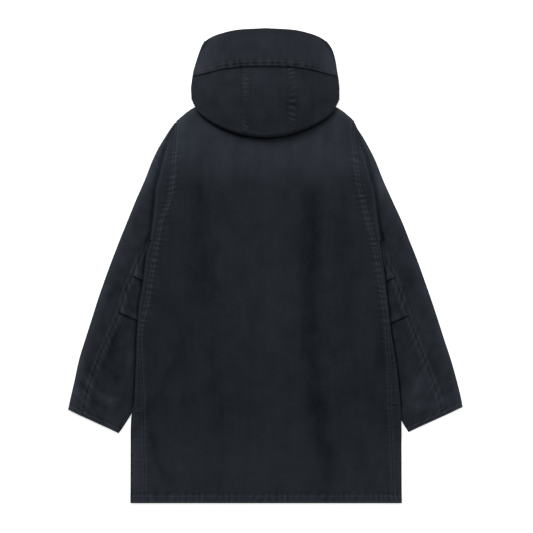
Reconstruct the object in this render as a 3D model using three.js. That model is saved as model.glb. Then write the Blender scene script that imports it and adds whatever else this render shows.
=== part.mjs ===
// A hooded canvas parka, laid on its front with the back up and the sleeves tucked under its sides.
// Millimetres. +Y runs from the hem to the hood, +Z up, X across. The origin is on the floor, under
// the middle of the outline. Every cloth piece is a wall of even thickness on a grid of points.
import * as THREE from 'three';

const WALL = 1.6;            // doubled, washed cotton canvas
const HALF_WALL = WALL / 2;
const SEAM_GAP = 0.3;        // between two pieces that are sewn edge to edge
const LAP_STEP = 2.0;        // height of a piece that laps over its neighbour
const LAP_WIDTH = 9;

const HEM_Y = -534.2;
const HEM_TURN = 21;         // depth of the hem's turn-up
const TURN_RAISE = 0.7;      // how far a turned edge stands proud of the cloth beside it
const UNDERARM_Y = 57.4;
const SHOULDER_Y = 325.8;
const SLIT = 0.4;            // the sleeve's head parts from its tube here, under the side fold

const FRONT_Z = HALF_WALL;   // middle of the front's wall where it lies on the floor
const BODY_TURN = 1.4;       // radius of the side folds, middle of the wall
const BACK_Z = FRONT_Z + 2 * BODY_TURN;
const SLEEVE_TURN = 1.7;     // radius of the sleeve's outer fold
const INNER_TURN = 1.1;      // radius of the sleeve's pressed inner fold
const UNDER_Z = FRONT_Z + 2 * INNER_TURN;
const BODY_LIFT = 6.3;       // how far a sleeve raises the body that lies on it
const LIFT_START = 46;       // the rise begins this far inside the sleeve's hidden edge
const LIFT_END = 14;
const FLY_HALF = 30;         // half the width of the flap over the front opening
const CUFF_SLOPE = 0.4535;   // rise of the cuff's line from its inner to its outer corner

// Each table gives distances from the middle line, for the garment's left and right in this view.
// The outline from the shoulder down the sleeve's outer fold to the cuff.
const OUTER = [
  { y: 340, left: 183, right: 181 },
  { y: 325.8, left: 200.5, right: 199 },
  { y: 310, left: 213.1, right: 206.6 },
  { y: 292, left: 224.8, right: 218.3 },
  { y: 265, left: 241.2, right: 233.6 },
  { y: 238, left: 254.3, right: 247.1 },
  { y: 193, left: 272.0, right: 265.1 },
  { y: 148, left: 291.8, right: 285.3 },
  { y: 103, left: 310.1, right: 306.0 },
  { y: 58, left: 328.3, right: 324.0 },
  { y: 13, left: 345.8, right: 341.8 },
  { y: -32, left: 362.3, right: 358.0 },
  { y: -77, left: 377.8, right: 373.7 },
  { y: -122, left: 392.0, right: 388.6 },
  { y: -167, left: 406.4, right: 403.0 },
  { y: -212, left: 420.1, right: 417.8 },
  { y: -257, left: 429.8, right: 430.4 },
  { y: -302, left: 440.1, right: 441.2 },
  { y: -330, left: 446.1, right: 445.9 },
];

// The armhole seam, then the side seam where the front's strip meets the back.
const SIDE_SEAM = [
  { y: 330, left: 199.0, right: 198.0 },
  { y: 288, left: 201.5, right: 196.6 },
  { y: 247, left: 204.8, right: 202.7 },
  { y: 195, left: 209.5, right: 208.0 },
  { y: 164, left: 213.5, right: 215.3 },
  { y: 136, left: 221.0, right: 221.8 },
  { y: 104, left: 234.0, right: 230.0 },
  { y: 57.4, left: 243.0, right: 243.0 },
  { y: -6, left: 254.0, right: 254.0 },
  { y: -85, left: 266.6, right: 266.0 },
  { y: -141, left: 279.2, right: 272.0 },
  { y: -180, left: 280.6, right: 274.0 },
  { y: -221, left: 278.6, right: 277.4 },
  { y: -320, left: 274.4, right: 279.5 },
  { y: -393, left: 274.5, right: 284.0 },
  { y: -470, left: 272.6, right: 286.5 },
  { y: -540, left: 273.8, right: 290.0 },
];

// The fold that ends the body: in the sleeve's head above the underarm, in the front below it.
const BODY_EDGE = [
  { y: 330, left: 201.0, right: 199.5 },
  { y: 300, left: 209.0, right: 205.0 },
  { y: 266, left: 221.0, right: 222.0 },
  { y: 238, left: 230.6, right: 230.5 },
  { y: 206, left: 240.0, right: 236.6 },
  { y: 177, left: 244.6, right: 242.1 },
  { y: 136, left: 247.7, right: 246.8 },
  { y: 95, left: 252.5, right: 252.0 },
  { y: 57.4, left: 258.0, right: 257.4 },
  { y: 26, left: 268.0, right: 261.8 },
  { y: -30, left: 274.6, right: 268.9 },
  { y: -92, left: 284.8, right: 276.5 },
  { y: -152, left: 289.2, right: 283.0 },
  { y: -221, left: 291.6, right: 294.5 },
  { y: -306, left: 295.6, right: 303.1 },
  { y: -345, left: 302.4, right: 305.8 },
  { y: -392, left: 303.8, right: 306.2 },
  { y: -540, left: 304.2, right: 306.9 },
];

// The sleeve's topstitched back seam, from under the body's edge to the cuff.
const BACK_SEAM = [
  { y: 60, left: 264.5, right: 264.0 },
  { y: 40, left: 272.0, right: 266.0 },
  { y: 13, left: 285.8, right: 271.5 },
  { y: -20, left: 299.2, right: 288.0 },
  { y: -60, left: 317.0, right: 302.8 },
  { y: -104, left: 329.0, right: 318.5 },
  { y: -150, left: 349.6, right: 334.8 },
  { y: -200, left: 372.0, right: 354.0 },
  { y: -250, left: 390.5, right: 373.0 },
  { y: -300, left: 406.0, right: 391.5 },
  { y: -345, left: 414.0, right: 400.0 },
];

// The sleeve's inner fold, hidden under the body down to where it comes out beside the cuff.
const INNER = [
  { y: 160, left: 236, right: 236 },
  { y: 62, left: 237, right: 236 },
  { y: 4, left: 214, right: 214 },
  { y: -54, left: 198, right: 198 },
  { y: -110, left: 201, right: 201 },
  { y: -167, left: 212, right: 213 },
  { y: -270, left: 262, right: 264 },
  { y: -338, left: 304.4, right: 300 },
  { y: -380, left: 333.0, right: 326.5 },
  { y: -440, left: 400, right: 400 },
];

// The neckline and the shoulder line, by distance from the middle.
const BACK_TOP = [
  { x: 0, y: 341 }, { x: 40, y: 346 }, { x: 80, y: 372 }, { x: 120, y: 371 },
  { x: 163, y: 355 }, { x: 190, y: 335 }, { x: 199, y: SHOULDER_Y },
];
const FRONT_TOP = [
  { x: 0, y: 286 }, { x: 30, y: 292 }, { x: 62, y: 326 }, { x: 84, y: 372 },
  { x: 120, y: 371 }, { x: 163, y: 355 }, { x: 190, y: 335 }, { x: 199, y: SHOULDER_Y },
];

// Where the elbow's panels lap, by their place on the back seam.
const ELBOW = {
  left: { upper: -21.4, lower: -104 },
  right: { upper: -25, lower: -110.5 },
};

// The long soft troughs and ridges of the back, by where they run and how deep they are.
const BACK_FOLDS = [
  { x: 111, top: 200, bottom: -480, width: 26, rise: -0.9 },
  { x: -159, top: 200, bottom: -90, width: 22, rise: -0.8 },
  { x: 179, top: 120, bottom: -160, width: 20, rise: -0.5 },
  { x: 10, top: 240, bottom: -470, width: 60, rise: 0.9 },
  { x: -70, top: 100, bottom: -500, width: 34, rise: 0.5 },
];

const clamp = (v, low = 0, high = 1) => Math.min(high, Math.max(low, v));
const mix = (a, b, t) => a + (b - a) * t;
const smooth = (v) => {
  const t = clamp(v);
  return t * t * (3 - 2 * t);
};

// A table's value at a place along it, with straight stretches between its rows.
function lookUp(table, key, at, name) {
  const rising = table[0][key] < table[table.length - 1][key];
  const rows = rising ? table : [...table].reverse();
  if (at <= rows[0][key]) return rows[0][name];
  for (let i = 1; i < rows.length; i += 1) {
    if (at <= rows[i][key]) {
      const t = (at - rows[i - 1][key]) / (rows[i][key] - rows[i - 1][key]);
      return mix(rows[i - 1][name], rows[i][name], t);
    }
  }
  return rows[rows.length - 1][name];
}
const reach = (table, y, side) => lookUp(table, 'y', y, side);

// A point of cloth: its place in the middle of the wall, the way its outer face looks, and how far
// that face stands proud of the plain wall.
const point = (x, y, z, out = [0, 0, 1], raise = 0) => ({ at: new THREE.Vector3(x, y, z), out, raise });
const FACE_DOWN = [0, 0, -1];

// The points round a fold, from its lower layer to its upper one, or the other way.
function turn(sign, nose, y, low, radius, steps, upward) {
  const points = [];
  for (let i = 0; i <= steps; i += 1) {
    const angle = (upward ? 1 : -1) * Math.PI * (i / steps - 0.5);
    const across = Math.cos(angle);
    const up = Math.sin(angle);
    const x = nose - HALF_WALL - radius + radius * across;
    points.push(point(sign * x, y, low + radius + radius * up, [sign * across, 0, up]));
  }
  return points;
}

// The closed wall on a grid of points. A missing point, or a cell that skip names, leaves cloth out.
// Points with no direction of their own take it from the cells round them.
function clothGeometry(rows, skip = () => false) {
  const cells = [];
  for (let i = 0; i + 1 < rows.length; i += 1) {
    for (let j = 0; j + 1 < rows[i].length; j += 1) {
      const corners = [[i, j], [i, j + 1], [i + 1, j + 1], [i + 1, j]];
      const whole = corners.every(([r, c]) => rows[r][c]);
      if (whole && !skip(i, j)) cells.push(corners);
    }
  }
  const ids = new Map();
  const used = [];
  const idOf = ([r, c]) => {
    const key = `${r},${c}`;
    if (!ids.has(key)) {
      ids.set(key, used.length);
      used.push({ ...rows[r][c], sum: new THREE.Vector3() });
    }
    return ids.get(key);
  };
  const quads = cells.map((corners) => corners.map(idOf));
  for (const quad of quads) {
    const [a, b, c, d] = quad.map((id) => used[id].at);
    const across = new THREE.Vector3().subVectors(c, a);
    const along = new THREE.Vector3().subVectors(d, b);
    const normal = new THREE.Vector3().crossVectors(across, along).normalize();
    for (const id of quad) used[id].sum.add(normal);
  }
  const position = [];
  for (const v of used) {
    const out = v.out ? new THREE.Vector3(...v.out) : v.sum;
    out.normalize();
    const outer = v.at.clone().addScaledVector(out, HALF_WALL + v.raise);
    const inner = v.at.clone().addScaledVector(out, -HALF_WALL);
    position.push(...outer.toArray(), ...inner.toArray());
  }
  const faces = [];
  const open = new Map();
  for (const [a, b, c, d] of quads) {
    faces.push([2 * a, 2 * b, 2 * c], [2 * a, 2 * c, 2 * d]);
    faces.push([2 * a + 1, 2 * c + 1, 2 * b + 1], [2 * a + 1, 2 * d + 1, 2 * c + 1]);
    for (const [from, to] of [[a, b], [b, c], [c, d], [d, a]]) {
      if (!open.delete(`${to},${from}`)) open.set(`${from},${to}`, [from, to]);
    }
  }
  for (const [from, to] of open.values()) {
    faces.push([2 * from, 2 * from + 1, 2 * to + 1], [2 * from, 2 * to + 1, 2 * to]);
  }
  let volume = 0;
  const corner = (id) => new THREE.Vector3().fromArray(position, 3 * id);
  for (const [a, b, c] of faces) volume += corner(a).dot(corner(b).cross(corner(c)));
  const index = faces.flatMap((face) => (volume > 0 ? face : [face[0], face[2], face[1]]));
  const geometry = new THREE.BufferGeometry();
  geometry.setAttribute('position', new THREE.Float32BufferAttribute(position, 3));
  geometry.setIndex(index);
  geometry.computeVertexNormals();
  return geometry;
}

const canvas = new THREE.MeshStandardMaterial({ color: 0x23272c, roughness: 0.92, metalness: 0 });
const washedCanvas = new THREE.MeshStandardMaterial({ color: 0x292d32, roughness: 0.92, metalness: 0 });

function cloth(name, material, rows, skip) {
  const mesh = new THREE.Mesh(clothGeometry(rows, skip), material);
  mesh.name = name;
  return mesh;
}

// The rise of the body over the sleeve below it.
function lift(x, y, side) {
  const hidden = reach(INNER, y, side);
  const across = (Math.abs(x) - (hidden - LIFT_START)) / (LIFT_START - LIFT_END);
  const fade = smooth((150 - y) / 84);
  return BODY_LIFT * smooth(across) * fade;
}
const sideOf = (x) => (x < 0 ? 'left' : 'right');

// The back's own softness above its resting height: nothing at its edges, a little in the middle.
function backSoftness(x, y) {
  const edge = reach(SIDE_SEAM, y, sideOf(x));
  const inside = smooth((edge - Math.abs(x)) / 90) * smooth((y - HEM_Y) / 120) * smooth((330 - y) / 90);
  let height = 1.1;
  for (const fold of BACK_FOLDS) {
    const along = smooth((fold.top - y) / 90) * smooth((y - fold.bottom) / 90);
    height += fold.rise * along * Math.exp(-(((x - fold.x) / fold.width) ** 2));
  }
  return height * inside;
}
const backHeight = (x, y) => BACK_Z + lift(x, y, sideOf(x)) + backSoftness(x, y);

const LOWER_ROWS = [
  UNDERARM_Y - SLIT, 32, 2, -28, -60, -95, -132, -170, -210, -250, -290, -322, -345, -366,
  -392, -430, -472, HEM_Y + HEM_TURN + 1, HEM_Y + HEM_TURN, HEM_Y,
];
const UPPER_ROWS = [SHOULDER_Y, 316, 296, 268, 236, 200, 164, 128, 92, UNDERARM_Y];

const EDGE_ROOM = 7;         // least width of the column beside the body's edge
const LEAST_RISE = 24;       // least width over which the body climbs onto the sleeve

// The columns of the body's grids on one side, from near the middle to beside its edge. They follow
// the rise over the sleeve, so the back and the front stay one above the other.
function bodyColumns(y, edge, side) {
  const hidden = reach(INNER, Math.min(y, UNDERARM_Y), side);
  const end = Math.min(hidden - LIFT_END, edge - EDGE_ROOM);
  const start = Math.min(hidden - LIFT_START, end - LEAST_RISE);
  return [mix(FLY_HALF, start, 0.34), mix(FLY_HALF, start, 0.7), start, mix(start, end, 0.5), end];
}

// How far up a column of the body's upper part reaches, and its rows' heights there.
function upperY(x, atEdge, top) {
  const share = (atEdge - UNDERARM_Y) / (SHOULDER_Y - UNDERARM_Y);
  return mix(UNDERARM_Y, lookUp(top, 'x', Math.abs(x), 'y'), share);
}
const hemRaise = (y) => (y <= HEM_Y + HEM_TURN ? TURN_RAISE : 0);

function backPiece() {
  const row = (y, upper) => {
    const half = (side) => {
      const seam = reach(SIDE_SEAM, y, side) - SEAM_GAP / 2;
      return [FLY_HALF, ...bodyColumns(y, seam, side), seam];
    };
    const xs = [...half('left').map((x) => -x).reverse(), 0, ...half('right')];
    return xs.map((x) => {
      const here = upper ? upperY(x, y, BACK_TOP) : y;
      return point(x, here, backHeight(x, here), [0, 0, 1], hemRaise(y));
    });
  };
  const rows = [...UPPER_ROWS.map((y) => row(y, true)), ...LOWER_ROWS.map((y) => row(y, false))];
  return cloth('back', canvas, rows);
}

function frontPiece(side) {
  const sign = side === 'left' ? -1 : 1;
  const flat = (x, y) => point(sign * x, y, FRONT_Z + lift(x, y, side), FACE_DOWN);
  const upper = UPPER_ROWS.map((y) => {
    const seam = reach(SIDE_SEAM, y, side) - SEAM_GAP / 2;
    const xs = [FLY_HALF + SEAM_GAP, ...bodyColumns(y, seam, side), seam];
    return xs.map((x) => flat(x, upperY(x, y, FRONT_TOP)));
  });
  const lower = LOWER_ROWS.map((y) => {
    const edge = reach(BODY_EDGE, y, side);
    const seam = reach(SIDE_SEAM, y, side) + SEAM_GAP / 2;
    const xs = [FLY_HALF + SEAM_GAP, ...bodyColumns(y, seam - SEAM_GAP, side)];
    const low = FRONT_Z + lift(edge, y, side);
    const strip = [
      ...turn(sign, edge, y, low, BODY_TURN, 3, true),
      point(sign * seam, y, BACK_Z + lift(seam, y, side)),
    ];
    for (const p of strip.slice(-2)) p.raise = hemRaise(y);
    return [...xs.map((x) => flat(x, y)), ...strip];
  });
  return cloth(`front_${side}`, canvas, [...upper, ...lower]);
}

function frontFly() {
  const ys = [284, 200, 100, 0, -100, -200, -300, -400, -480, HEM_Y];
  const rows = ys.map((y) => [-FLY_HALF, 0, FLY_HALF].map((x) => point(x, y, FRONT_Z, FACE_DOWN)));
  return cloth('front_fly', canvas, rows);
}

// Where a slanting row of the sleeve that passes one of its points meets another of its lines.
function meet(table, from, slope, side) {
  let y = from.y;
  for (let i = 0; i < 16; i += 1) y = from.y + slope * (reach(table, y, side) - from.x);
  return { x: reach(table, y, side), y };
}
const rowSlope = (y) => CUFF_SLOPE * smooth((UNDERARM_Y - SLIT - y) / 90);

const CUFF_CREASE = { y: -275, width: 9, depth: 0.7 };

// The top layer rises a little from the back seam to the round outer fold, and creases above the cuff.
function sleeveHeight(share, y, radius) {
  const near = Math.exp(-(((y - CUFF_CREASE.y) / CUFF_CREASE.width) ** 2));
  const crease = CUFF_CREASE.depth * near * Math.sin(Math.PI * clamp(share));
  return mix(UNDER_Z, FRONT_Z + 2 * radius, smooth(share * 1.3)) - crease;
}

const HEAD_ROWS = UPPER_ROWS.slice(1);
const LAP_RISE = 3;          // length over which a lapping end climbs onto the next panel
const CUFF_ROWS = [-327.5, -328.3, -339];

// The heights of the tube's rows on the back seam, with those where the elbow's panels lap.
function tubeRows(side) {
  const { upper, lower } = ELBOW[side];
  const lap = (end) => [end + LAP_WIDTH + LAP_RISE, end + LAP_WIDTH, end];
  return [
    UNDERARM_Y - SLIT, 34, 12, ...lap(upper), mix(upper, lower, 0.5), ...lap(lower),
    -140, -172, -204, -236, -262, -275, -288, -312, ...CUFF_ROWS,
  ];
}

// The sleeve's lines where each of those slanting rows meets them.
function tubeLines(side) {
  return tubeRows(side).map((y) => {
    const slope = rowSlope(y);
    const seam = { x: reach(BACK_SEAM, y, side), y };
    return { y, slope, seam, outer: meet(OUTER, seam, slope, side), inner: meet(INNER, seam, slope, side) };
  });
}

// The same lines at any height between two rows.
function linesAt(lines, y) {
  const i = Math.max(1, lines.findIndex((row) => row.y <= y));
  const [a, b] = [lines[i - 1], lines[i]];
  const t = (y - a.y) / (b.y - a.y);
  const between = (p, q) => ({ x: mix(p.x, q.x, t), y: mix(p.y, q.y, t) });
  return { y, seam: between(a.seam, b.seam), inner: between(a.inner, b.inner) };
}

const FOOT = 6;             // width of the step from the head's fold down to the sleeve's level
const LIP = 7;               // the under sleeve's seam lies this far from the inner fold
const FLAP_COLUMNS = 3;
const SHARED_COLUMNS = 8;    // from the foot of the step round the outer fold to below that foot

// The sleeve above the underarm, which carries the body's side fold, and its tube below, in one piece.
function sleeveTop(side) {
  const sign = side === 'left' ? -1 : 1;
  const outside = (inner, outer, radius, raise) => {
    const end = outer.x - HALF_WALL - radius;
    const at = (share) => ({ x: mix(inner.x, end, share), y: mix(inner.y, outer.y, share) });
    const over = [0, 0.33, 0.7].map((share) => {
      const { x, y } = at(share);
      return point(sign * x, y, sleeveHeight(share, y, radius), [0, 0, 1], raise);
    });
    const round = turn(sign, outer.x, outer.y, FRONT_Z, radius, 3, false);
    round[0].raise = raise;
    const middle = at(0.5);
    return [...over, ...round, point(sign * middle.x, middle.y, FRONT_Z, FACE_DOWN)];
  };
  const head = HEAD_ROWS.map((y) => {
    const seam = reach(SIDE_SEAM, y, side) + SEAM_GAP / 2;
    const outerX = reach(OUTER, y, side);
    const radius = Math.min(SLEEVE_TURN, (outerX - seam) / 5);
    const room = outerX - HALF_WALL - radius;
    const fold = Math.min(reach(BODY_EDGE, y, side), mix(seam, room, 0.5));
    const foot = Math.min(fold + FOOT, mix(fold, room, 0.5));
    const raised = lift(seam, y, side);
    const top = BACK_Z + raised;
    const flap = [
      point(sign * seam, y, top),
      point(sign * mix(seam, fold, 0.5), y, top + 0.3),
      point(sign * fold, y, top - 0.4),
    ];
    const under = [
      point(sign * foot, y, FRONT_Z, FACE_DOWN),
      point(sign * mix(foot, seam, 0.3), y, FRONT_Z + 0.12 * raised, FACE_DOWN),
      point(sign * mix(foot, seam, 0.65), y, FRONT_Z + 0.5 * raised, FACE_DOWN),
      point(sign * seam, y, FRONT_Z + raised, FACE_DOWN),
    ];
    const middle = outside({ x: foot, y }, { x: outerX, y }, radius, 0);
    return [...flap, ...middle, ...under];
  });
  const tube = tubeLines(side).map(({ y, slope, seam, outer, inner }) => {
    const cuff = y <= CUFF_ROWS[1] ? TURN_RAISE : 0;
    const start = { x: seam.x + SEAM_GAP / 2, y: seam.y };
    const along = (share) => ({ x: mix(start.x, inner.x, share), y: mix(start.y, inner.y, share) });
    const under = [0, 0.3, 0.65].map((share) => {
      const p = along(share);
      return point(sign * p.x, p.y, FRONT_Z, FACE_DOWN);
    });
    const fold = turn(-sign, -inner.x, inner.y, FRONT_Z, INNER_TURN, 3, true);
    const lip = point(sign * (inner.x + LIP), inner.y + slope * LIP, UNDER_Z, [0, 0, 1], cuff);
    return [null, null, null, ...outside(start, outer, SLEEVE_TURN, cuff), ...under, ...fold, lip];
  });
  const columns = tube[0].length;
  const padded = head.map((row) => [...row, ...Array(columns - row.length).fill(null)]);
  const join = head.length - 1;
  const shared = (j) => j >= FLAP_COLUMNS && j < FLAP_COLUMNS + SHARED_COLUMNS;
  return cloth(`sleeve_top_${side}`, canvas, [...padded, ...tube], (i, j) => i === join && !shared(j));
}

// One panel of the under sleeve, between the back seam and the inner fold, from one height on the
// back seam down to another. Where laps is given, its end from there on lies over the next panel.
function underSleevePanel(name, side, from, to, laps) {
  const sign = side === 'left' ? -1 : 1;
  const lines = tubeLines(side);
  const between = tubeRows(side).filter((y) => y < from - 0.1 && y > to + 0.1);
  const rows = [from, ...between, to].map((y) => {
    const { seam, inner } = linesAt(lines, y);
    const slope = rowSlope(y);
    const raised = laps !== null && y <= laps + 0.1 ? LAP_STEP : 0;
    const cuff = y <= CUFF_ROWS[1] ? TURN_RAISE : 0;
    const [start, end] = [seam.x - SEAM_GAP / 2, inner.x + LIP + SEAM_GAP];
    return [0, 0.25, 0.5, 0.75, 1].map((share) => {
      const x = mix(start, end, share);
      return point(sign * x, seam.y - slope * (seam.x - x), UNDER_Z + raised, [0, 0, 1], cuff);
    });
  });
  return cloth(name, canvas, rows);
}

const LAP_CLEAR = 1.5;       // the lapped panel ends this far before the step onto it
const UNDERARM_CLEAR = 2;

// The under sleeve's three panels, of which each laps over the end of the next one down.
function underSleeve(side) {
  const { upper, lower } = ELBOW[side];
  const clear = LAP_WIDTH - LAP_CLEAR;
  const top = UNDERARM_Y - SLIT - UNDERARM_CLEAR;
  const cuff = CUFF_ROWS[CUFF_ROWS.length - 1];
  return [
    underSleevePanel(`under_sleeve_upper_${side}`, side, top, upper, upper + LAP_WIDTH),
    underSleevePanel(`elbow_panel_${side}`, side, upper + clear, lower, lower + LAP_WIDTH),
    underSleevePanel(`under_sleeve_lower_${side}`, side, lower + clear, cuff, null),
  ];
}

// The hood's lines, by distance from the middle.
const POUCH_LINE = [
  { x: 0, y: 288.0 }, { x: 44, y: 293.2 }, { x: 86, y: 306.0 }, { x: 126, y: 326.5 },
  { x: 150, y: 346 }, { x: 165, y: 374 },
];
const BRIM_LINE = [
  { x: 0, y: 453.8 }, { x: 44, y: 452.8 }, { x: 90, y: 448.0 }, { x: 126, y: 439.5 }, { x: 163, y: 429.8 },
];
const TOP_LINE = [
  { x: 0, y: 534.2 }, { x: 60, y: 530.9 }, { x: 103, y: 521.6 }, { x: 125, y: 512.6 }, { x: 138, y: 503.6 },
];
// The hood's half width, by the height of a row's ends.
const HOOD_SIDE = [
  { y: 374, left: 166.0, right: 166.0 },
  { y: 400, left: 167.6, right: 166.2 },
  { y: 418, left: 165.6, right: 164.7 },
  { y: 436, left: 162.5, right: 161.3 },
  { y: 454, left: 157.3, right: 158.6 },
  { y: 472, left: 151.4, right: 154.8 },
  { y: 486, left: 146.5, right: 149.9 },
  { y: 495, left: 143.1, right: 144.9 },
  { y: 503.6, left: 137.8, right: 138.5 },
];
const HOOD_SEAMS = { left: -0.275, right: 0.362 };   // share of the half width
const HOOD_HALF = 166;
const HOOD_LOW_Z = BACK_Z + 2.4;                     // the pouch's turned-under layer, on the back
const HOOD_HUMP = 15;                                // rise of the shell between its turn and the brim
const EDGE_INSET = 1.2;                              // the shell's last point, before its round side
const SIDE_BULGE = 1.6;                              // how far the round side stands out from there
const NECK_HALF = 84;
const NECK_SINK = 5;                                 // the hood starts this far below the neckline
const MOUTH_HALF = 2;                                // half the gap where the face edges meet, below
const NECK_CLEAR = 18;                               // keeps the face edges off the front's neckline
const BRIM_LAP = 0.055;                              // share of a panel's length that the brim laps
const BRIM_STEP = 2.8;                               // height of the brim over the panels it laps
const SIDE_BOTTOM = { y: 378, brim: 429.8, top: 503.6 };
const ROUND_STEPS = 4;                               // points round the side, above the floor layer
const FLOOR_COLUMNS = [128, 96, 64, 34, MOUTH_HALF]; // places across of the floor layer's columns
const SIDE_COLUMNS = ROUND_STEPS + FLOOR_COLUMNS.length;

const crown = (a, power) => (1 - Math.min(1, Math.abs(a)) ** 2) ** power;
const lineY = (table, x) => lookUp(table, 'x', Math.abs(x), 'y');

// The shell's height where the pouch's turn ends, at the brim's seam and at the top edge.
const pouchRadius = (a) => 2.0 + 7.5 * crown(a, 0.7);
const pouchHeight = (a) => HOOD_LOW_Z + 2 * pouchRadius(a);
const brimHeight = (a) => 6.6 + 22 * crown(a, 0.8);
const topHeight = (a) => 4.6 + 5 * crown(a, 0.8);

// A point of the hood's upper shell: a across from -1 to 1, b from 0 at the pouch's turn over 1 at
// the brim's seam to 2 at the top edge. extra lifts it clear of the piece below.
function shellPoint(a, b, extra = 0) {
  const side = a < 0 ? 'left' : 'right';
  const rowEnd = b < 1
    ? mix(SIDE_BOTTOM.y, SIDE_BOTTOM.brim, b)
    : mix(SIDE_BOTTOM.brim, SIDE_BOTTOM.top, b - 1);
  const inset = Math.abs(a) === 1 ? EDGE_INSET : 0;
  const x = a * (reach(HOOD_SIDE, rowEnd, side) - HALF_WALL - inset);
  const low = lineY(POUCH_LINE, x * 0.994) + pouchRadius(a);
  const seam = lineY(BRIM_LINE, x);
  const top = lineY(TOP_LINE, x);
  const y = b < 1 ? mix(Math.min(low, seam - 40), seam, b) : mix(seam, top, b - 1);
  const hump = HOOD_HUMP * crown(a, 0.9) * Math.sin(Math.PI * Math.min(1, b)) ** 0.9;
  const z = b < 1
    ? mix(pouchHeight(a), brimHeight(a), b) + hump
    : mix(topHeight(a), brimHeight(a), (2 - b) ** 1.25);
  return { at: new THREE.Vector3(x, y, z + extra), raise: 0 };
}

// The pouch's turn: k from 0, where the layer lies on the back, to 1, where the shell begins.
function pouchPoint(a, k) {
  const start = shellPoint(a, 0).at;
  const radius = pouchRadius(a);
  const angle = Math.PI * (k - 0.5);
  const y = start.y - radius * Math.cos(angle);
  return { at: new THREE.Vector3(start.x, y, HOOD_LOW_Z + radius * (1 + Math.sin(angle))), raise: 0 };
}

// The layer between the neckline and the pouch's turn.
function neckPoint(a, k) {
  const pouch = pouchPoint(a, 0).at;
  const x = a * NECK_HALF;
  const neck = new THREE.Vector3(x, lineY(BACK_TOP, x) - NECK_SINK, HOOD_LOW_Z);
  return { at: neck.lerp(pouch, k), raise: 0 };
}

// The side of the hood, from its round edge to the layer that lies on the floor.
function sidePoints(sign, b) {
  const edge = shellPoint(sign, b);
  const radius = (edge.at.z - FRONT_Z) / 2;
  const nose = Math.abs(edge.at.x) + HALF_WALL + SIDE_BULGE;
  const round = turn(sign, nose, edge.at.y, FRONT_Z, radius, ROUND_STEPS, false).slice(1);
  const floor = FLOOR_COLUMNS.map((x) => {
    const low = Math.max(lineY(FRONT_TOP, x), lineY(FRONT_TOP, x + NECK_CLEAR)) + 5;
    const top = lineY(TOP_LINE, x) - 3;
    const y = mix(low, top, b / 2);
    return point(sign * x, y, FRONT_Z, FACE_DOWN);
  });
  return [...round, ...floor].map((p) => ({ at: p.at, out: p.out, raise: 0 }));
}

// Rows of the hood between two shares across, with the side's columns where it reaches the edge.
function hoodRow(shares, b, extra) {
  const row = shares.map((a) => shellPoint(a, b, Math.abs(a) === 1 ? extra * 0.5 : extra));
  const left = shares[0] === -1 ? sidePoints(-1, b).reverse() : [];
  const right = shares[shares.length - 1] === 1 ? sidePoints(1, b) : [];
  return [...left, ...row, ...right];
}

const NO_SIDE = Array(SIDE_COLUMNS).fill(null);
const PANEL_END = 0.985;     // the panels stop just short of the brim's seam

function hoodPanel(name, shares) {
  const pad = (row) => {
    const left = shares[0] === -1 ? NO_SIDE : [];
    const right = shares[shares.length - 1] === 1 ? NO_SIDE : [];
    return [...left, ...row, ...right];
  };
  const rows = [
    ...[0, 0.5].map((k) => pad(shares.map((a) => neckPoint(a, k)))),
    ...[0, 0.25, 0.5, 0.75].map((k) => pad(shares.map((a) => pouchPoint(a, k)))),
    ...[0, 0.12, 0.26, 0.42, 0.58, 0.74, 0.88, PANEL_END].map((b) => hoodRow(shares, b, 0)),
  ];
  return cloth(name, washedCanvas, rows);
}

function hoodBrim() {
  const shares = [-1, -0.94, -0.82, -0.64, -0.44, -0.22, 0, 0.22, 0.44, 0.64, 0.82, 0.94, 1];
  const edge = shares.map((a) => shellPoint(a, 1 - BRIM_LAP, BRIM_STEP));
  const rows = [
    [...NO_SIDE, ...edge, ...NO_SIDE],
    hoodRow(shares, PANEL_END + 0.03, BRIM_STEP),
    ...[1.06, 1.25, 1.45, 1.65, 1.85, 2].map((b) => hoodRow(shares, b, 0)),
  ];
  return cloth('hood_brim', washedCanvas, rows);
}

function hood() {
  const half = SEAM_GAP / 2 / HOOD_HALF;
  const { left, right } = HOOD_SEAMS;
  return [
    hoodPanel('hood_left', [-1, -0.94, -0.82, -0.66, -0.48, left - half]),
    hoodPanel('hood_centre', [left + half, -0.12, 0.04, 0.2, right - half]),
    hoodPanel('hood_right', [right + half, 0.52, 0.68, 0.82, 0.94, 1]),
    hoodBrim(),
  ];
}

const parka = new THREE.Group();
parka.name = 'parka';
parka.add(backPiece(), frontPiece('left'), frontPiece('right'), frontFly());
for (const side of ['left', 'right']) parka.add(sleeveTop(side), ...underSleeve(side));
parka.add(...hood());

export default parka;
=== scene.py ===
# Dresses the laid-out parka in washed canvas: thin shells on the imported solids, with the seams,
# stitches, puckers and soft folds of the real one. Lengths are millimetres until a mesh is made.
import math
from bisect import bisect_right

import bpy
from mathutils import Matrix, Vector, noise
from mathutils.bvhtree import BVHTree


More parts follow.
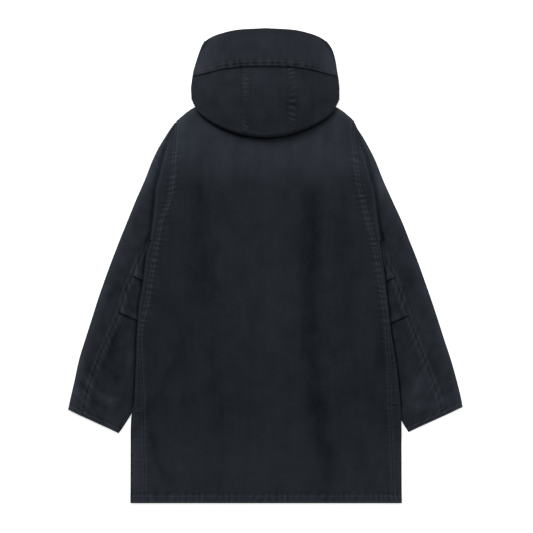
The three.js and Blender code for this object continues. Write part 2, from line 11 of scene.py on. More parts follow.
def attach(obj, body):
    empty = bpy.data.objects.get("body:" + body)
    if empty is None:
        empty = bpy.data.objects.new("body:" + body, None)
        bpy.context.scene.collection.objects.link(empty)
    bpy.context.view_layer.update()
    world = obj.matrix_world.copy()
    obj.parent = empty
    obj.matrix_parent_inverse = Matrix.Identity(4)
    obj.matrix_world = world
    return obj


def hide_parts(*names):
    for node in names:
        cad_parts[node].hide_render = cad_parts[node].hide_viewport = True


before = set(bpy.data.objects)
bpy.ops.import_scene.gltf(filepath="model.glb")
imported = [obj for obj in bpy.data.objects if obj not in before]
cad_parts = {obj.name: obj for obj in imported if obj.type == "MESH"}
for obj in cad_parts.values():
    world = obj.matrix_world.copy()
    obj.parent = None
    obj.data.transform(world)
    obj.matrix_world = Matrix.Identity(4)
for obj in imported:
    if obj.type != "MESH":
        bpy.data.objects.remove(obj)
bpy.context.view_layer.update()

MM = 0.001

# The garment's sizes, as on the solids. Heights are those of the middle of a layer of cloth.
SHELL = 1.3                  # thickness of the canvas shells, a little thinner than the solids
HALF_SHELL = SHELL / 2
CAD_HALF_WALL = 0.8
SEAM_GAP = 0.3               # between two pieces, at their seam
LAP_STEP = 2.0               # how far a lapped edge of the under sleeve stands up
LAP_WIDTH = 9
HEM_Y = -534.2
HEM_TURN = 21                # from the hem's edge to its row of stitches
CUFF_TURN = 11
CUFF_LINE_Y = -339           # the cuff's edge, on the sleeve's back seam
CUFF_SLOPE = 0.4535          # how steeply the cuff slants
UNDERARM_Y = 57.4
SHOULDER_Y = 325.8
SLIT = 0.4                   # the sleeve's head and tube part here, under the side fold
FRONT_Z = CAD_HALF_WALL      # the layer that lies on the floor
BODY_TURN = 1.4              # radius of the fold at the body's side
BACK_Z = FRONT_Z + 2 * BODY_TURN
SLEEVE_TURN = 1.7            # radius of the sleeve's outer fold
INNER_TURN = 1.1             # radius of its inner fold
UNDER_Z = FRONT_Z + 2 * INNER_TURN
BODY_LIFT = 6.3              # how far the body rises where it lies on the sleeves
LIFT_START = 46              # where it begins to rise and where it is up, inside the sleeve's inner fold
LIFT_END = 14
FLY_HALF = 30
FOOT = 6                     # from the side fold to where the sleeve's outside begins beside it
LIP = 7                      # how far the sleeve's top reaches over its inner fold
FAR = 99                     # a distance past the reach of any seam, hem or cuff


def table(columns, rows):
    """A short table: each row as a dictionary, by the names of the columns."""
    names = columns.split()
    return [dict(zip(names, row)) for row in rows]


# Outlines and seams: distances from the middle line, on the left and right as the camera sees them.

# The sleeves' outer fold.
OUTER = table("y left right", [
    (340, 183, 181), (325.8, 200.5, 199), (310, 213.1, 206.6), (292, 224.8, 218.3),
    (265, 241.2, 233.6), (238, 254.3, 247.1), (193, 272.0, 265.1), (148, 291.8, 285.3),
    (103, 310.1, 306.0), (58, 328.3, 324.0), (13, 345.8, 341.8), (-32, 362.3, 358.0),
    (-77, 377.8, 373.7), (-122, 392.0, 388.6), (-167, 406.4, 403.0), (-212, 420.1, 417.8),
    (-257, 429.8, 430.4), (-302, 440.1, 441.2), (-330, 446.1, 445.9),
])
# The armhole, and below it the seam between the back and the front's strip.
SIDE_SEAM = table("y left right", [
    (330, 199.0, 198.0), (288, 201.5, 196.6), (247, 204.8, 202.7), (195, 209.5, 208.0),
    (164, 213.5, 215.3), (136, 221.0, 221.8), (104, 234.0, 230.0), (57.4, 243.0, 243.0),
    (-6, 254.0, 254.0), (-85, 266.6, 266.0), (-141, 279.2, 272.0), (-180, 280.6, 274.0),
    (-221, 278.6, 277.4), (-320, 274.4, 279.5), (-393, 274.5, 284.0), (-470, 272.6, 286.5),
    (-540, 273.8, 290.0),
])
# The fold at the body's side.
BODY_EDGE = table("y left right", [
    (330, 201.0, 199.5), (300, 209.0, 205.0), (266, 221.0, 222.0), (238, 230.6, 230.5),
    (206, 240.0, 236.6), (177, 244.6, 242.1), (136, 247.7, 246.8), (95, 252.5, 252.0),
    (57.4, 258.0, 257.4), (26, 268.0, 261.8), (-30, 274.6, 268.9), (-92, 284.8, 276.5),
    (-152, 289.2, 283.0), (-221, 291.6, 294.5), (-306, 295.6, 303.1), (-345, 302.4, 305.8),
    (-392, 303.8, 306.2), (-540, 304.2, 306.9),
])
# The sleeves' back seam.
BACK_SEAM = table("y left right", [
    (60, 264.5, 264.0), (40, 272.0, 266.0), (13, 285.8, 271.5), (-20, 299.2, 288.0),
    (-60, 317.0, 302.8), (-104, 329.0, 318.5), (-150, 349.6, 334.8), (-200, 372.0, 354.0),
    (-250, 390.5, 373.0), (-300, 406.0, 391.5), (-345, 414.0, 400.0),
])
# The sleeves' inner fold, mostly under the body.
INNER = table("y left right", [
    (160, 236, 236), (62, 237, 236), (4, 214, 214), (-54, 198, 198), (-110, 201, 201),
    (-167, 212, 213), (-270, 262, 264), (-338, 304.4, 300), (-380, 333.0, 326.5), (-440, 400, 400),
])
# The upper edges of the back and of the fronts: the neckline, then the shoulder.
BACK_TOP = table("x y", [
    (0, 341), (40, 346), (80, 372), (120, 371), (163, 355), (190, 335), (199, SHOULDER_Y),
])
FRONT_TOP = table("x y", [
    (0, 286), (30, 292), (62, 326), (84, 372), (120, 371), (163, 355), (190, 335),
    (199, SHOULDER_Y),
])
# Heights on the back seam of the two lapped edges at the elbow.
ELBOW = {
    "left": {"upper": -21.4, "lower": -104},
    "right": {"upper": -25, "lower": -110.5},
}
# The hood from below: its lowest turn, the seam of its brim, its top edge and its sides.
POUCH_LINE = table("x y", [
    (0, 288.0), (44, 293.2), (86, 306.0), (126, 326.5), (150, 346), (165, 374),
])
BRIM_LINE = table("x y", [
    (0, 453.8), (44, 452.8), (90, 448.0), (126, 439.5), (163, 429.8),
])
TOP_LINE = table("x y", [
    (0, 534.2), (60, 530.9), (103, 521.6), (125, 512.6), (138, 503.6),
])
HOOD_SIDE = table("y left right", [
    (374, 166.0, 166.0), (400, 167.6, 166.2), (418, 165.6, 164.7), (436, 162.5, 161.3),
    (454, 157.3, 158.6), (472, 151.4, 154.8), (486, 146.5, 149.9), (495, 143.1, 144.9),
    (503.6, 137.8, 138.5),
])
# The hood's two seams, as shares across it: -1 is its left side and 1 its right.
HOOD_SEAM = {"left": -0.275, "right": 0.362}
HOOD_LOW_Z = BACK_Z + 2.4    # the hood's under side, where it rests on the back
HOOD_HALF = 166
NECK_HALF = 84               # half the width of the neckline that the hood is sewn to
MOUTH_HALF = 2               # half the gap where the hood's face edges meet, below
NECK_CLEAR = 18              # how far across the hood's under side keeps clear of the neckline
BRIM_LAP = 6                 # how far the brim laps over the panels, and how far it stands up there
BRIM_STEP = 2.8
SIDE_ROWS = {"turn": 378, "brim": 429.8, "top": 503.6}   # heights on the hood's side

# The long soft troughs and ridges of the back. The last column is how much paler or darker each is painted:
# partly dye rubbed pale on the ridges, partly painted light on the ridges and painted shade in the troughs.
BACK_FOLDS = table("x0 y0 x1 y1 width rise wash", [
    (106, 214, 98, -230, 24, -1.2, -0.16), (98, -180, 150, -570, 21, -1.2, -0.14),
    (-152, 215, -142, -100, 30, -1.0, -0.12), (172, 150, 186, -160, 20, -0.7, -0.07),
    (4, 230, 16, -470, 48, 0.9, 0.05), (-76, 90, -62, -500, 30, 0.6, 0.03),
    (66, 60, 80, -500, 14, 0.6, 0.04), (-112, -40, -100, -490, 18, -0.6, -0.06),
    (-262, -366, -236, -456, 7, -0.9, -0.10), (-250, -436, -206, -502, 8, -0.9, -0.08),
    (262, -430, 226, -506, 9, -0.7, -0.06), (150, 330, 128, 232, 9, -0.7, -0.08),
    (-118, 300, -150, 214, 10, -0.7, -0.07), (-62, 286, -78, 228, 8, -0.5, -0.06),
    (60, 284, 74, 220, 10, 0.5, 0.05),
])

# Short creases of the sleeves: where they run, how wide and how high they are.
CREASES = table("x0 y0 x1 y1 width rise", [
    (-424, -262, -392, -286, 7, -1.3), (-404, -256, -362, -300, 6, 0.9),
    (-372, -292, -334, -318, 8, 1.0), (-396, -300, -352, -326, 6, -0.9),
    (-414, -232, -378, -246, 7, -0.6), (-380, -206, -330, -262, 9, -0.6),
    (424, -268, 398, -300, 6, -0.9), (410, -286, 372, -322, 7, 0.8),
    (388, -318, 340, -340, 6, -0.8), (352, -250, 326, -300, 9, 0.7),
    (-330, -30, -352, -80, 10, -0.7), (-300, 40, -328, 0, 10, 0.5), (312, 0, 338, -60, 10, -0.6),
    (330, -90, 362, -150, 9, 0.5), (-254, 250, -240, 212, 4, 1.2),
    (-352, -304, -322, -300, 4, 0.9), (-432, -284, -414, -300, 4, 0.9),
    (-336, -132, -348, -222, 9, -0.7), (318, -306, 350, -322, 5, 0.7),
])

# Soft patches where the colour is paler or deeper: their middles and their reach.
PATCHES = table("x y across along wash", [
    (-190, 318, 14, 20, 0.26), (-192, 268, 14, 34, 0.12), (138, 256, 22, 36, 0.13),
    (214, 290, 12, 22, -0.12), (-264, 196, 12, 24, 0.22), (262, 182, 12, 34, 0.46),
    (342, 34, 14, 26, -0.22), (308, 70, 9, 30, -0.08), (262, -185, 18, 72, -0.13),
    (-306, -208, 16, 22, 0.15), (-428, -214, 16, 28, 0.36), (-348, -368, 22, 18, 0.30),
    (346, -268, 26, 70, 0.20), (384, -326, 18, 18, 0.14), (302, -362, 14, 16, -0.14),
    (150, -430, 66, 40, -0.11), (-104, -362, 24, 40, 0.06), (-296, -450, 18, 76, 0.24),
    (218, -430, 16, 36, -0.09),
])
HOOD_PATCHES = table("x y across along wash", [
    (57, 362, 16, 16, -0.20), (-60, 360, 20, 18, -0.10), (-86, 366, 14, 22, 0.10),
    (88, 430, 30, 14, -0.08), (-112, 520, 22, 14, 0.24), (122, 500, 22, 20, 0.04),
    (10, 478, 70, 16, -0.05),
])


def clamp(v, low=0.0, high=1.0):
    """The value, kept between the two limits."""
    return min(high, max(low, v))


def mix(a, b, t):
    """From a at t = 0 to b at t = 1."""
    return a + (b - a) * t


def smooth(v):
    """Eases from 0 to 1 as v goes from 0 to 1."""
    t = clamp(v)
    return t * t * (3 - 2 * t)


def bump(v):
    """A soft rise of 1 at v = 0 that is gone by about v = 2, on either side."""
    return math.exp(-v * v)


def drift(a, b, c):
    """Smooth noise, from about -1 to 1."""
    return noise.noise(Vector((a, b, c)))


def smooth_line(outline, key, name):
    """A smooth curve through an outline's rows that never swings past them."""
    rows = sorted((row[key], row[name]) for row in outline)
    xs = [r[0] for r in rows]
    ys = [r[1] for r in rows]
    steps = [(ys[i + 1] - ys[i]) / (xs[i + 1] - xs[i]) for i in range(len(xs) - 1)]
    slopes = [steps[0]]
    for a, b in zip(steps, steps[1:]):
        slopes.append(0.0 if a * b <= 0 else 2 * a * b / (a + b))
    slopes.append(steps[-1])

    def value(at):
        if at <= xs[0]:
            return ys[0]
        if at >= xs[-1]:
            return ys[-1]
        i = bisect_right(xs, at) - 1
        width = xs[i + 1] - xs[i]
        t = (at - xs[i]) / width
        a, b = ys[i], ys[i + 1]
        rise = (t - 2 * t * t + t ** 3) * slopes[i] + (t ** 3 - t * t) * slopes[i + 1]
        return mix(a, b, t * t * (3 - 2 * t)) + rise * width

    return value


SIDES = ("left", "right")


def side_lines(outline):
    """The curves of an outline's two sides."""
    return {side: smooth_line(outline, "y", side) for side in SIDES}


outer_line = side_lines(OUTER)
seam_line = side_lines(SIDE_SEAM)
edge_line = side_lines(BODY_EDGE)
back_seam_line = side_lines(BACK_SEAM)
inner_line = side_lines(INNER)
hood_side_line = side_lines(HOOD_SIDE)
back_top = smooth_line(BACK_TOP, "x", "y")
front_top = smooth_line(FRONT_TOP, "x", "y")
pouch_line = smooth_line(POUCH_LINE, "x", "y")
brim_line = smooth_line(BRIM_LINE, "x", "y")
top_line = smooth_line(TOP_LINE, "x", "y")


def side_of(x):
    """The garment's side, as the camera sees it."""
    return "left" if x < 0 else "right"


def sign_of(side):
    return -1 if side == "left" else 1


def spread_evenly(a, b, count):
    """The ends of count even stretches from a to b."""
    return [mix(a, b, i / count) for i in range(count + 1)]


def spread(a, b, step):
    """Even places from a to b, about a step apart."""
    return spread_evenly(a, b, max(1, round(abs(b - a) / step)))


def puckers(along, across, pitch, seed):
    """Puckers that lie across a seam, uneven in spacing, slant and size: from about -1 to 1."""
    wander = 1.1 * drift(along / (3.5 * pitch), seed, 0.5)
    slant = across / (2.5 * pitch) * drift(along / (4 * pitch), seed, 4.5)
    size = clamp(0.75 + 1.1 * drift(along / (1.7 * pitch), 7.0, seed), 0.15, 1.3)
    return size * math.cos(2 * math.pi * (along / pitch + wander + slant))


def fold_height(folds, x, y, key="rise"):
    """What long soft folds add at x, y: their rise, or their wash."""
    total = 0.0
    for f in folds:
        dx, dy = f["x1"] - f["x0"], f["y1"] - f["y0"]
        length = math.hypot(dx, dy)
        along = ((x - f["x0"]) * dx + (y - f["y0"]) * dy) / length
        across = ((x - f["x0"]) * dy - (y - f["y0"]) * dx) / length
        if abs(across) > 3 * f["width"] or along < -0.1 * length or along > 1.1 * length:
            continue
        ends = smooth((along / length + 0.1) / 0.35) * smooth((1.1 - along / length) / 0.35)
        wander = 0.35 * f["width"] * drift(along / 60, f["x0"], 3.1)
        total += f[key] * ends * bump((across + wander) / f["width"])
    return total


def patch_wash(patches, x, y):
    """How much paler the soft patches make the colour at x, y."""
    total = 0.0
    for p in patches:
        total += p["wash"] * bump((x - p["x"]) / p["across"]) * bump((y - p["y"]) / p["along"])
    return total


class Cloth:
    """A grid point: its place in the middle of the shell, its outer side, how pale its colour is and how
    much the outer side alone stands up. The paleness is partly dye rubbed off by washing and partly painted
    light and shade. Without an outer side of its own it takes that of its grid."""

    def __init__(self, x, y, z, out=(0, 0, 1), wash=0.0, raised=0.0):
        self.at = Vector((x, y, z))
        self.out = Vector(out) if out else None
        self.wash = wash
        self.raised = raised


DOWN = (0, 0, -1)


def turn(sign, nose, y, low, radius, steps, upward, wash=0.0):
    """Points round a fold, from one layer to the other."""
    points = []
    for i in range(steps + 1):
        angle = (1 if upward else -1) * math.pi * (i / steps - 0.5)
        across, up = math.cos(angle), math.sin(angle)
        x = nose - CAD_HALF_WALL - radius + radius * across
        out = (sign * across, 0, up)
        points.append(Cloth(sign * x, y, low + radius + radius * up, out, wash * across))
    return points


def lift(x, y, side):
    """How far the body rises at x, y, from lying on the sleeve."""
    across = (abs(x) - (inner_line[side](y) - LIFT_START)) / (LIFT_START - LIFT_END)
    return BODY_LIFT * smooth(across) * smooth((150 - y) / 84)


SHARP_ANGLE = math.radians(48)   # an edge sharper than this stays crisp
pieces = {}


def new_object(name, data):
    """An object in the scene for a mesh, a light or a camera."""
    made = bpy.data.objects.new(name, data)
    bpy.context.scene.collection.objects.link(made)
    return made


def new_mesh(name, verts, faces):
    """A mesh that is shaded smooth."""
    mesh = bpy.data.meshes.new(name)
    mesh.from_pydata([tuple(v) for v in verts], [], faces)
    mesh.update()
    mesh.polygons.foreach_set("use_smooth", [True] * len(mesh.polygons))
    return mesh


def finish_piece(piece, material):
    """Gives a piece its material and lets it ride on the part, which has one body."""
    piece.data.materials.append(material)
    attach(piece, "root")


def grid_cells(rows, skip):
    """The points that a grid uses, and its cells by their numbers. Where a point is missing, or skip says
    so, the cloth is open."""
    used = []
    cells = []
    ids = {}

    def number(i, j):
        if (i, j) not in ids:
            ids[i, j] = len(used)
            used.append(rows[i][j])
        return ids[i, j]

    for i in range(len(rows) - 1):
        for j in range(len(rows[i]) - 1):
            corners = ((i, j), (i, j + 1), (i + 1, j + 1), (i + 1, j))
            if any(rows[r][c] is None for r, c in corners) or (skip and skip(i, j)):
                continue
            cells.append([number(r, c) for r, c in corners])
    return used, cells


def shell_faces(cells, count, sign):
    """The faces of both sides of a shell and of the rim between them."""
    faces = []
    edges = {}
    for cell in cells:
        a, b, c, d = cell if sign > 0 else cell[::-1]
        faces.append((a, b, c, d))
        faces.append((d + count, c + count, b + count, a + count))
        for start, end in ((a, b), (b, c), (c, d), (d, a)):
            if edges.pop((end, start), None) is None:
                edges[start, end] = True
    return faces + [(start, start + count, end + count, end) for start, end in edges]


def cloth_piece(name, node, slot, rows, flat, skip=None):
    """A closed thin shell on a grid of points, which rides on the part and replaces its solid."""
    used, cells = grid_cells(rows, skip)
    normals = [Vector((0, 0, 0)) for _ in used]
    for cell in cells:
        a, b, c, d = (used[k].at for k in cell)
        normal = (c - a).cross(d - b)
        for k in cell:
            normals[k] += normal
    facing = sum(p.out.dot(normal) for p, normal in zip(used, normals) if p.out)
    if facing == 0:
        facing = sum(normal.z for normal in normals)
    sign = 1 if facing >= 0 else -1
    outs = [(p.out or normal * sign).normalized() for p, normal in zip(used, normals)]
    verts = [(p.at + out * (HALF_SHELL + p.raised)) * MM for p, out in zip(used, outs)]
    verts += [(p.at - out * HALF_SHELL) * MM for p, out in zip(used, outs)]
    mesh = new_mesh(name, verts, shell_faces(cells, len(used), sign))
    mesh.set_sharp_from_angle(angle=SHARP_ANGLE)
    # Per point: dye rubbed pale by washing, together with painted light and shade.
    wash = mesh.attributes.new("wash", "FLOAT", "POINT")
    wash.data.foreach_set("value", [p.wash for p in used] * 2)
    piece = new_object(name, mesh)
    finish_piece(piece, MATERIALS[slot])
    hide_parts(node)
    width, length = (side * MM for side in flat)
    pieces[name] = piece


def from_hex(text):
    """An sRGB hex colour as linear numbers."""
    values = [int(text[i:i + 2], 16) / 255 for i in (1, 3, 5)]
    linear = [v / 12.92 if v <= 0.04045 else ((v + 0.055) / 1.055) ** 2.4 for v in values]
    return (*linear, 1.0)


def add(tree, kind, links=None, **settings):
    """Adds a node, with its inputs by socket name or number and its settings by name."""
    node = tree.nodes.new(f"ShaderNode{kind}")
    for key, value in settings.items():
        setattr(node, key, value)
    for key, value in (links or {}).items():
        socket = node.inputs[key]
        if isinstance(value, bpy.types.NodeSocket):
            tree.links.new(value, socket)
        else:
            socket.default_value = value
    return node


THREAD_PERIOD = 2.2          # canvas threads are 0.7 mm apart, drawn coarser so that they show
WAVE_SCALE = 2 * math.pi / (20 * THREAD_PERIOD * MM)
SLUB = 3.5                   # length of a thick place in the yarn
CLOUD = 42                   # size of the cloudy patches that garment dyeing leaves
BLOTCH = 170                 # size of the larger ones
STREAK_WIDTH = 11            # faint streaks along the warp threads
STREAK = 130                 # and their length
THREAD_WEAR = 12             # from a worn place of the sewing thread to the next


def new_material(name):
    """A material with an empty tree of nodes."""
    material = bpy.data.materials.new(name)
    material.use_nodes = True
    material.node_tree.nodes.clear()
    return material, material.node_tree


def canvas_material(name, deep, pale, rest):
    """Garment-dyed cotton canvas: matt, a faint grain of threads, and paler where washing has rubbed the dye
    off its edges, seams and high places. The same per-point value also darkens it with painted shade in
    troughs and creases, under the hood, below lapped edges and beside the body's side folds."""
    material, tree = new_material(name)
    place = add(tree, "TexCoord").outputs["Object"]
    # The per-point value: rubbed-pale dye, with painted light and shade in it.
    wear_and_shade = add(tree, "Attribute", attribute_name="wash").outputs["Fac"]
    weave = {"Vector": place, "Scale": WAVE_SCALE, "Distortion": 1.2, "Detail": 2.0, "Detail Scale": 1.5}
    across = add(tree, "TexWave", weave, bands_direction="X").outputs["Fac"]
    along = add(tree, "TexWave", weave, bands_direction="Y").outputs["Fac"]
    threads = add(tree, "Math", {0: across, 1: along}, operation="MAXIMUM").outputs[0]
    drawn = add(tree, "Mapping", {"Vector": place, "Scale": (1.0, STREAK_WIDTH / STREAK, 1.0)})

    def cloudy(where, size, detail, roughness=0.5):
        return add(tree, "TexNoise", {
            "Vector": where, "Scale": 1 / (size * MM), "Detail": detail, "Roughness": roughness,
        }).outputs["Fac"]

    slubs = cloudy(place, SLUB, 3.0, 0.65)
    clouds = cloudy(place, CLOUD, 4.0, 0.6)
    blotches = cloudy(place, BLOTCH, 2.0)
    streaks = cloudy(drawn.outputs["Vector"], STREAK_WIDTH, 2.0)
    patterns = ((slubs, 0.34), (threads, 0.08), (clouds, 0.26), (blotches, 0.16), (streaks, 0.13))
    total = wear_and_shade
    for pattern, strength in patterns:
        even = add(tree, "Math", {0: pattern, 1: 0.5}, operation="SUBTRACT").outputs[0]
        total = add(tree, "Math", {0: even, 1: strength, 2: total}, operation="MULTIPLY_ADD").outputs[0]
    share = add(tree, "Math", {0: total, 1: rest}, operation="ADD", use_clamp=True)
    ramp = add(tree, "ValToRGB", {"Fac": share.outputs[0]})
    ramp.color_ramp.elements[0].color = from_hex(deep)
    ramp.color_ramp.elements[1].color = from_hex(pale)
    height = add(tree, "Math", {0: slubs, 1: 0.8, 2: threads}, operation="MULTIPLY_ADD")
    relief = add(tree, "Bump", {"Strength": 0.55, "Distance": 0.35 * MM, "Height": height.outputs[0]})
    shader = add(tree, "BsdfPrincipled", {
        "Base Color": ramp.outputs["Color"], "Roughness": 0.92, "IOR": 1.45, "Specular IOR Level": 0.05,
        "Sheen Weight": 0.02, "Sheen Roughness": 0.6, "Normal": relief.outputs["Normal"],
    })
    add(tree, "OutputMaterial", {"Surface": shader.outputs["BSDF"]})
    return material


def thread_material():
    """Polyester-cotton thread, dyed with the garment: a shade paler than the canvas, a little glossier."""
    material, tree = new_material("dyed_sewing_thread")
    place = add(tree, "TexCoord").outputs["Object"]
    tone = add(tree, "TexNoise", {"Vector": place, "Scale": 1 / (THREAD_WEAR * MM), "Detail": 2.0})
    ramp = add(tree, "ValToRGB", {"Fac": tone.outputs["Fac"]})
    ramp.color_ramp.elements[0].color = from_hex("#1d2126")
    ramp.color_ramp.elements[1].color = from_hex("#4a5058")
    shader = add(tree, "BsdfPrincipled", {
        "Base Color": ramp.outputs["Color"], "Roughness": 0.7, "IOR": 1.5, "Specular IOR Level": 0.25,
    })
    add(tree, "OutputMaterial", {"Surface": shader.outputs["BSDF"]})
    return material


MATERIALS = {
    "canvas": canvas_material("garment_dyed_cotton_canvas", "#0d1014", "#383d45", 0.27),
    "hood_canvas": canvas_material("garment_dyed_canvas_washed_hood", "#0d1014", "#3a3f47", 0.29),
}
THREAD = thread_material()

# The seam bands: how the cloth swells, puckers and is rubbed beside a stitched seam.
BAND = 8.5                   # from the seam to its topstitching
PUCKER = 12.0                # from one pucker to the next along the body's seams
HEM_ROPE = 11                # from one pucker to the next along the hem
HEM_SLANT = 0.15             # how far its puckers lean
CUFF_ROPE = 9
BRIM_ROPE = 18
# Where in the noise each seam's puckers are taken from, so that no two look alike.
SEAM_SEEDS = {"left": 2.0, "right": 9.0}
SLEEVE_SEEDS = {"left": 14.0, "right": 27.0}
HEM_SEED = 21.0
CUFF_SEED = 33.0
BRIM_SEED = 51.0


def band_relief(across, along, strength, seed):
    """Height beside a stitched seam: a felled band, a sunk row of stitches and puckers past it.
    across is the distance from the seam, negative on its other side."""
    d = abs(across)
    if d > 34:
        return 0.0
    swell = 0.7 * smooth(d / 2.0) * smooth((BAND + 1.5 - d) / 2.5)
    groove = -0.5 * bump((d - BAND) / 1.4) - 0.5 * bump(d / 1.2)
    pucker = 0.62 * puckers(along, across, PUCKER, seed) * strength
    pucker *= smooth(d / 2) * smooth((24 - d) / 18)
    return swell + groove + pucker


def band_wash(across, along, strength, seed):
    """How rubbed the cloth is beside a seam: pale dashes on its high places, darker stitch lines."""
    d = abs(across)
    if d > 30:
        return 0.0
    ladder = puckers(along, across, PUCKER, seed) * strength
    rub = 0.06 * smooth((BAND + 3 - d) / 5) + 0.44 * max(0.0, ladder) * smooth((BAND - 1 - d) / 4)
    rub += 0.08 * ladder * smooth((24 - d) / 14) + 0.09 * bump((d - 2.8) / 1.5)
    return rub - 0.16 * bump(d / 1.2) - 0.12 * bump((d - BAND) / 1.2)


def past_side_seam(side, y, d):
    """Height and wash at d past the side seam or armhole, where the front or sleeve is sewn to it."""
    strength, seed = seam_strength(y), SEAM_SEEDS[side]
    return band_relief(-d - 1.5, y, strength, seed), band_wash(-d - 1.2, y, strength, seed)


def hem_ropes(up, along):
    """The hem's slanting puckers."""
    return puckers(along + HEM_SLANT * up, up, HEM_ROPE, HEM_SEED)


def hem_relief(up, along):
    """The turned-up hem, up from its edge: a puffed band with short puckers and one sunk stitch row."""
    if up > 40:
        return 0.0
    band = 0.9 * smooth(up / 3) * smooth((HEM_TURN + 1.5 - up) / 3)
    groove = -0.5 * bump((up - HEM_TURN) / 1.8)
    rope = 0.4 * hem_ropes(up, along) * smooth((HEM_TURN + 8 - up) / 10)
    return band + groove + rope


def hem_wash(up, along):
    """How rubbed the hem is: pale on its edge and ropes, dark in its row of stitches."""
    if up > 34:
        return 0.0
    ropes = 0.19 * hem_ropes(up, along) * smooth((HEM_TURN + 10 - up) / 12)
    edge = 0.22 * bump((up - 3) / 2.4) + 0.14 * bump((up - HEM_TURN + 5) / 2)
    edge += 0.10 * smooth((HEM_TURN - up) / 5)
    return ropes + edge - 0.22 * bump((up - HEM_TURN) / 1.6) - 0.15 * bump(up / 1.2)


def paler_shoulders(x, y):
    """The upper back is paler, with a soft lower edge that wanders."""
    edge = 206 + 26 * drift(x / 70, 0, 7.7) + 9 * drift(x / 16, 2.0, 7.7)
    streak = 0.08 * drift(x / 22, y / 90, 8.0)
    return (0.25 + streak) * smooth((y - edge + 42) / 84)


def seam_strength(y):
    """How strongly the side seam and armhole are puckered, by height."""
    return 0.3 + 0.7 * smooth((y + 190) / 90) - 0.8 * smooth((y - 248) / 24)


def back_softness(x, y):
    """Height of the back's soft waves and folds, which die out at its seams."""
    edge = seam_line[side_of(x)](y)
    inside = smooth((edge - abs(x)) / 90) * smooth((y - HEM_Y) / 120) * smooth((330 - y) / 90)
    undulation = 0.5 * drift(x / 90, y / 150, 1.3)
    undulation += 0.22 * drift(x / 26, y / 48, 5.0)
    return (1.1 + undulation + fold_height(BACK_FOLDS, x, y)) * inside + 0.15


def back_point(x, y, edge_y):
    """A point of the back at x, y. Its seams are measured at the height edge_y."""
    side = side_of(x)
    beside = seam_line[side](edge_y) - abs(x)
    up = y - HEM_Y
    strength = seam_strength(y)
    seed = SEAM_SEEDS[side]
    z = BACK_Z + lift(x, y, side) + back_softness(x, y) + band_relief(beside, y, strength, seed)
    z += hem_relief(up, x)
    wash = paler_shoulders(x, y) + band_wash(beside, y, strength, seed) + hem_wash(up, x)
    # The folds' colour, partly worn dye and partly painted light and shade, less the painted shade under the
    # hood.
    wash += fold_height(BACK_FOLDS, x, y, "wash") - hood_shade(x, y)
    wash += 0.15 * smooth((-330 - y) / 120)
    wash += 0.34 * bump((back_top(abs(x)) - y) / 13) * smooth((abs(x) - 130) / 30)
    wash += patch_wash(PATCHES, x, y)
    return Cloth(x, y, z, wash=wash)


def hood_shade(x, y):
    """Painted shade on the back in the crease under the hood, where the light is poor."""
    if abs(x) > 170:
        return 0.0
    below = pouch_line(abs(x)) - y
    return 0.55 * smooth((10 - below) / 9) * smooth((190 - abs(x)) / 60) + 0.05 * smooth((34 - below) / 30)


# Columns beside a seam and rows above the hem are closer together, to carry their low relief.
EDGE_STEPS = [0, 0.8, 1.7, 2.8, 4.2, 5.8, 7.4, 8.4, 9.4, 11, 13.5, 16.5, 20, 24, 28]
HEM_STEPS = [0, 1, 2.2, 4, 6.5, 9.5, 12.5, 15.5, 18, 19.6, 20.8, 22, 23.5, 26, 29.5]
HEM_ROWS = 33                # height of those rows
ROW_STEP = 2.6
BACK_COLUMNS = 84
FRONT_COLUMNS = 20
STRIP_COLUMNS = 8
FOLD_STEPS = 8               # faces round a fold
HIDDEN_STEP = 10             # hidden cloth is plain, with long faces
FLY_STEP = 12
FLY_TOP = 284
TUCK = 2.0                   # a hidden layer reaches this far past a seam, so no light comes through
DIP = 1.7                    # how far below its neighbour's middle a tucked edge lies


def lower_rows():
    """Heights of the body's rows, from the underarm to the hem."""
    high = spread(UNDERARM_Y - SLIT, HEM_Y + HEM_ROWS, ROW_STEP)
    return high + [HEM_Y + up for up in reversed(HEM_STEPS)]


def upper_y(x, at_edge, top):
    """Above the underarm a row bends, so that the last one follows the neckline and the shoulder."""
    share = (at_edge - UNDERARM_Y) / (SHOULDER_Y - UNDERARM_Y)
    return mix(UNDERARM_Y, top(abs(x)), share)


def make_back():
    """The back, one piece from the neckline to the hem."""
    rows = []
    heights = [(y, True) for y in spread(SHOULDER_Y, UNDERARM_Y, ROW_STEP)]
    for y, upper in heights + [(y, False) for y in lower_rows()]:
        left = -(seam_line["left"](y) - SEAM_GAP / 2)
        right = seam_line["right"](y) - SEAM_GAP / 2
        first, last = left + EDGE_STEPS[-1], right - EDGE_STEPS[-1]
        xs = [left + d for d in EDGE_STEPS]
        xs += [mix(first, last, i / BACK_COLUMNS) for i in range(1, BACK_COLUMNS)]
        xs += [right - d for d in reversed(EDGE_STEPS)]
        rows.append([back_point(x, upper_y(x, y, back_top) if upper else y, y) for x in xs])
    cloth_piece("back_panel", "back", "canvas", rows, (600, 930))


# Heights of the short cross rows of stitches in the side strips.
TACKS = {
    "left": (-383, -394, -440, -450, -330, -196),
    "right": (-284, -311, -430, -360, -200, -218),
}


def tack_wash(x, y, inner, outer):
    """A dark nick with a rubbed edge where the strip is tacked down."""
    if inner < 4 or outer < 3:
        return 0.0
    total = 0.0
    for tack in TACKS[side_of(x)]:
        total += 0.22 * bump((y - tack - 2.6) / 1.5) - 0.28 * bump((y - tack) / 1.4)
    return total


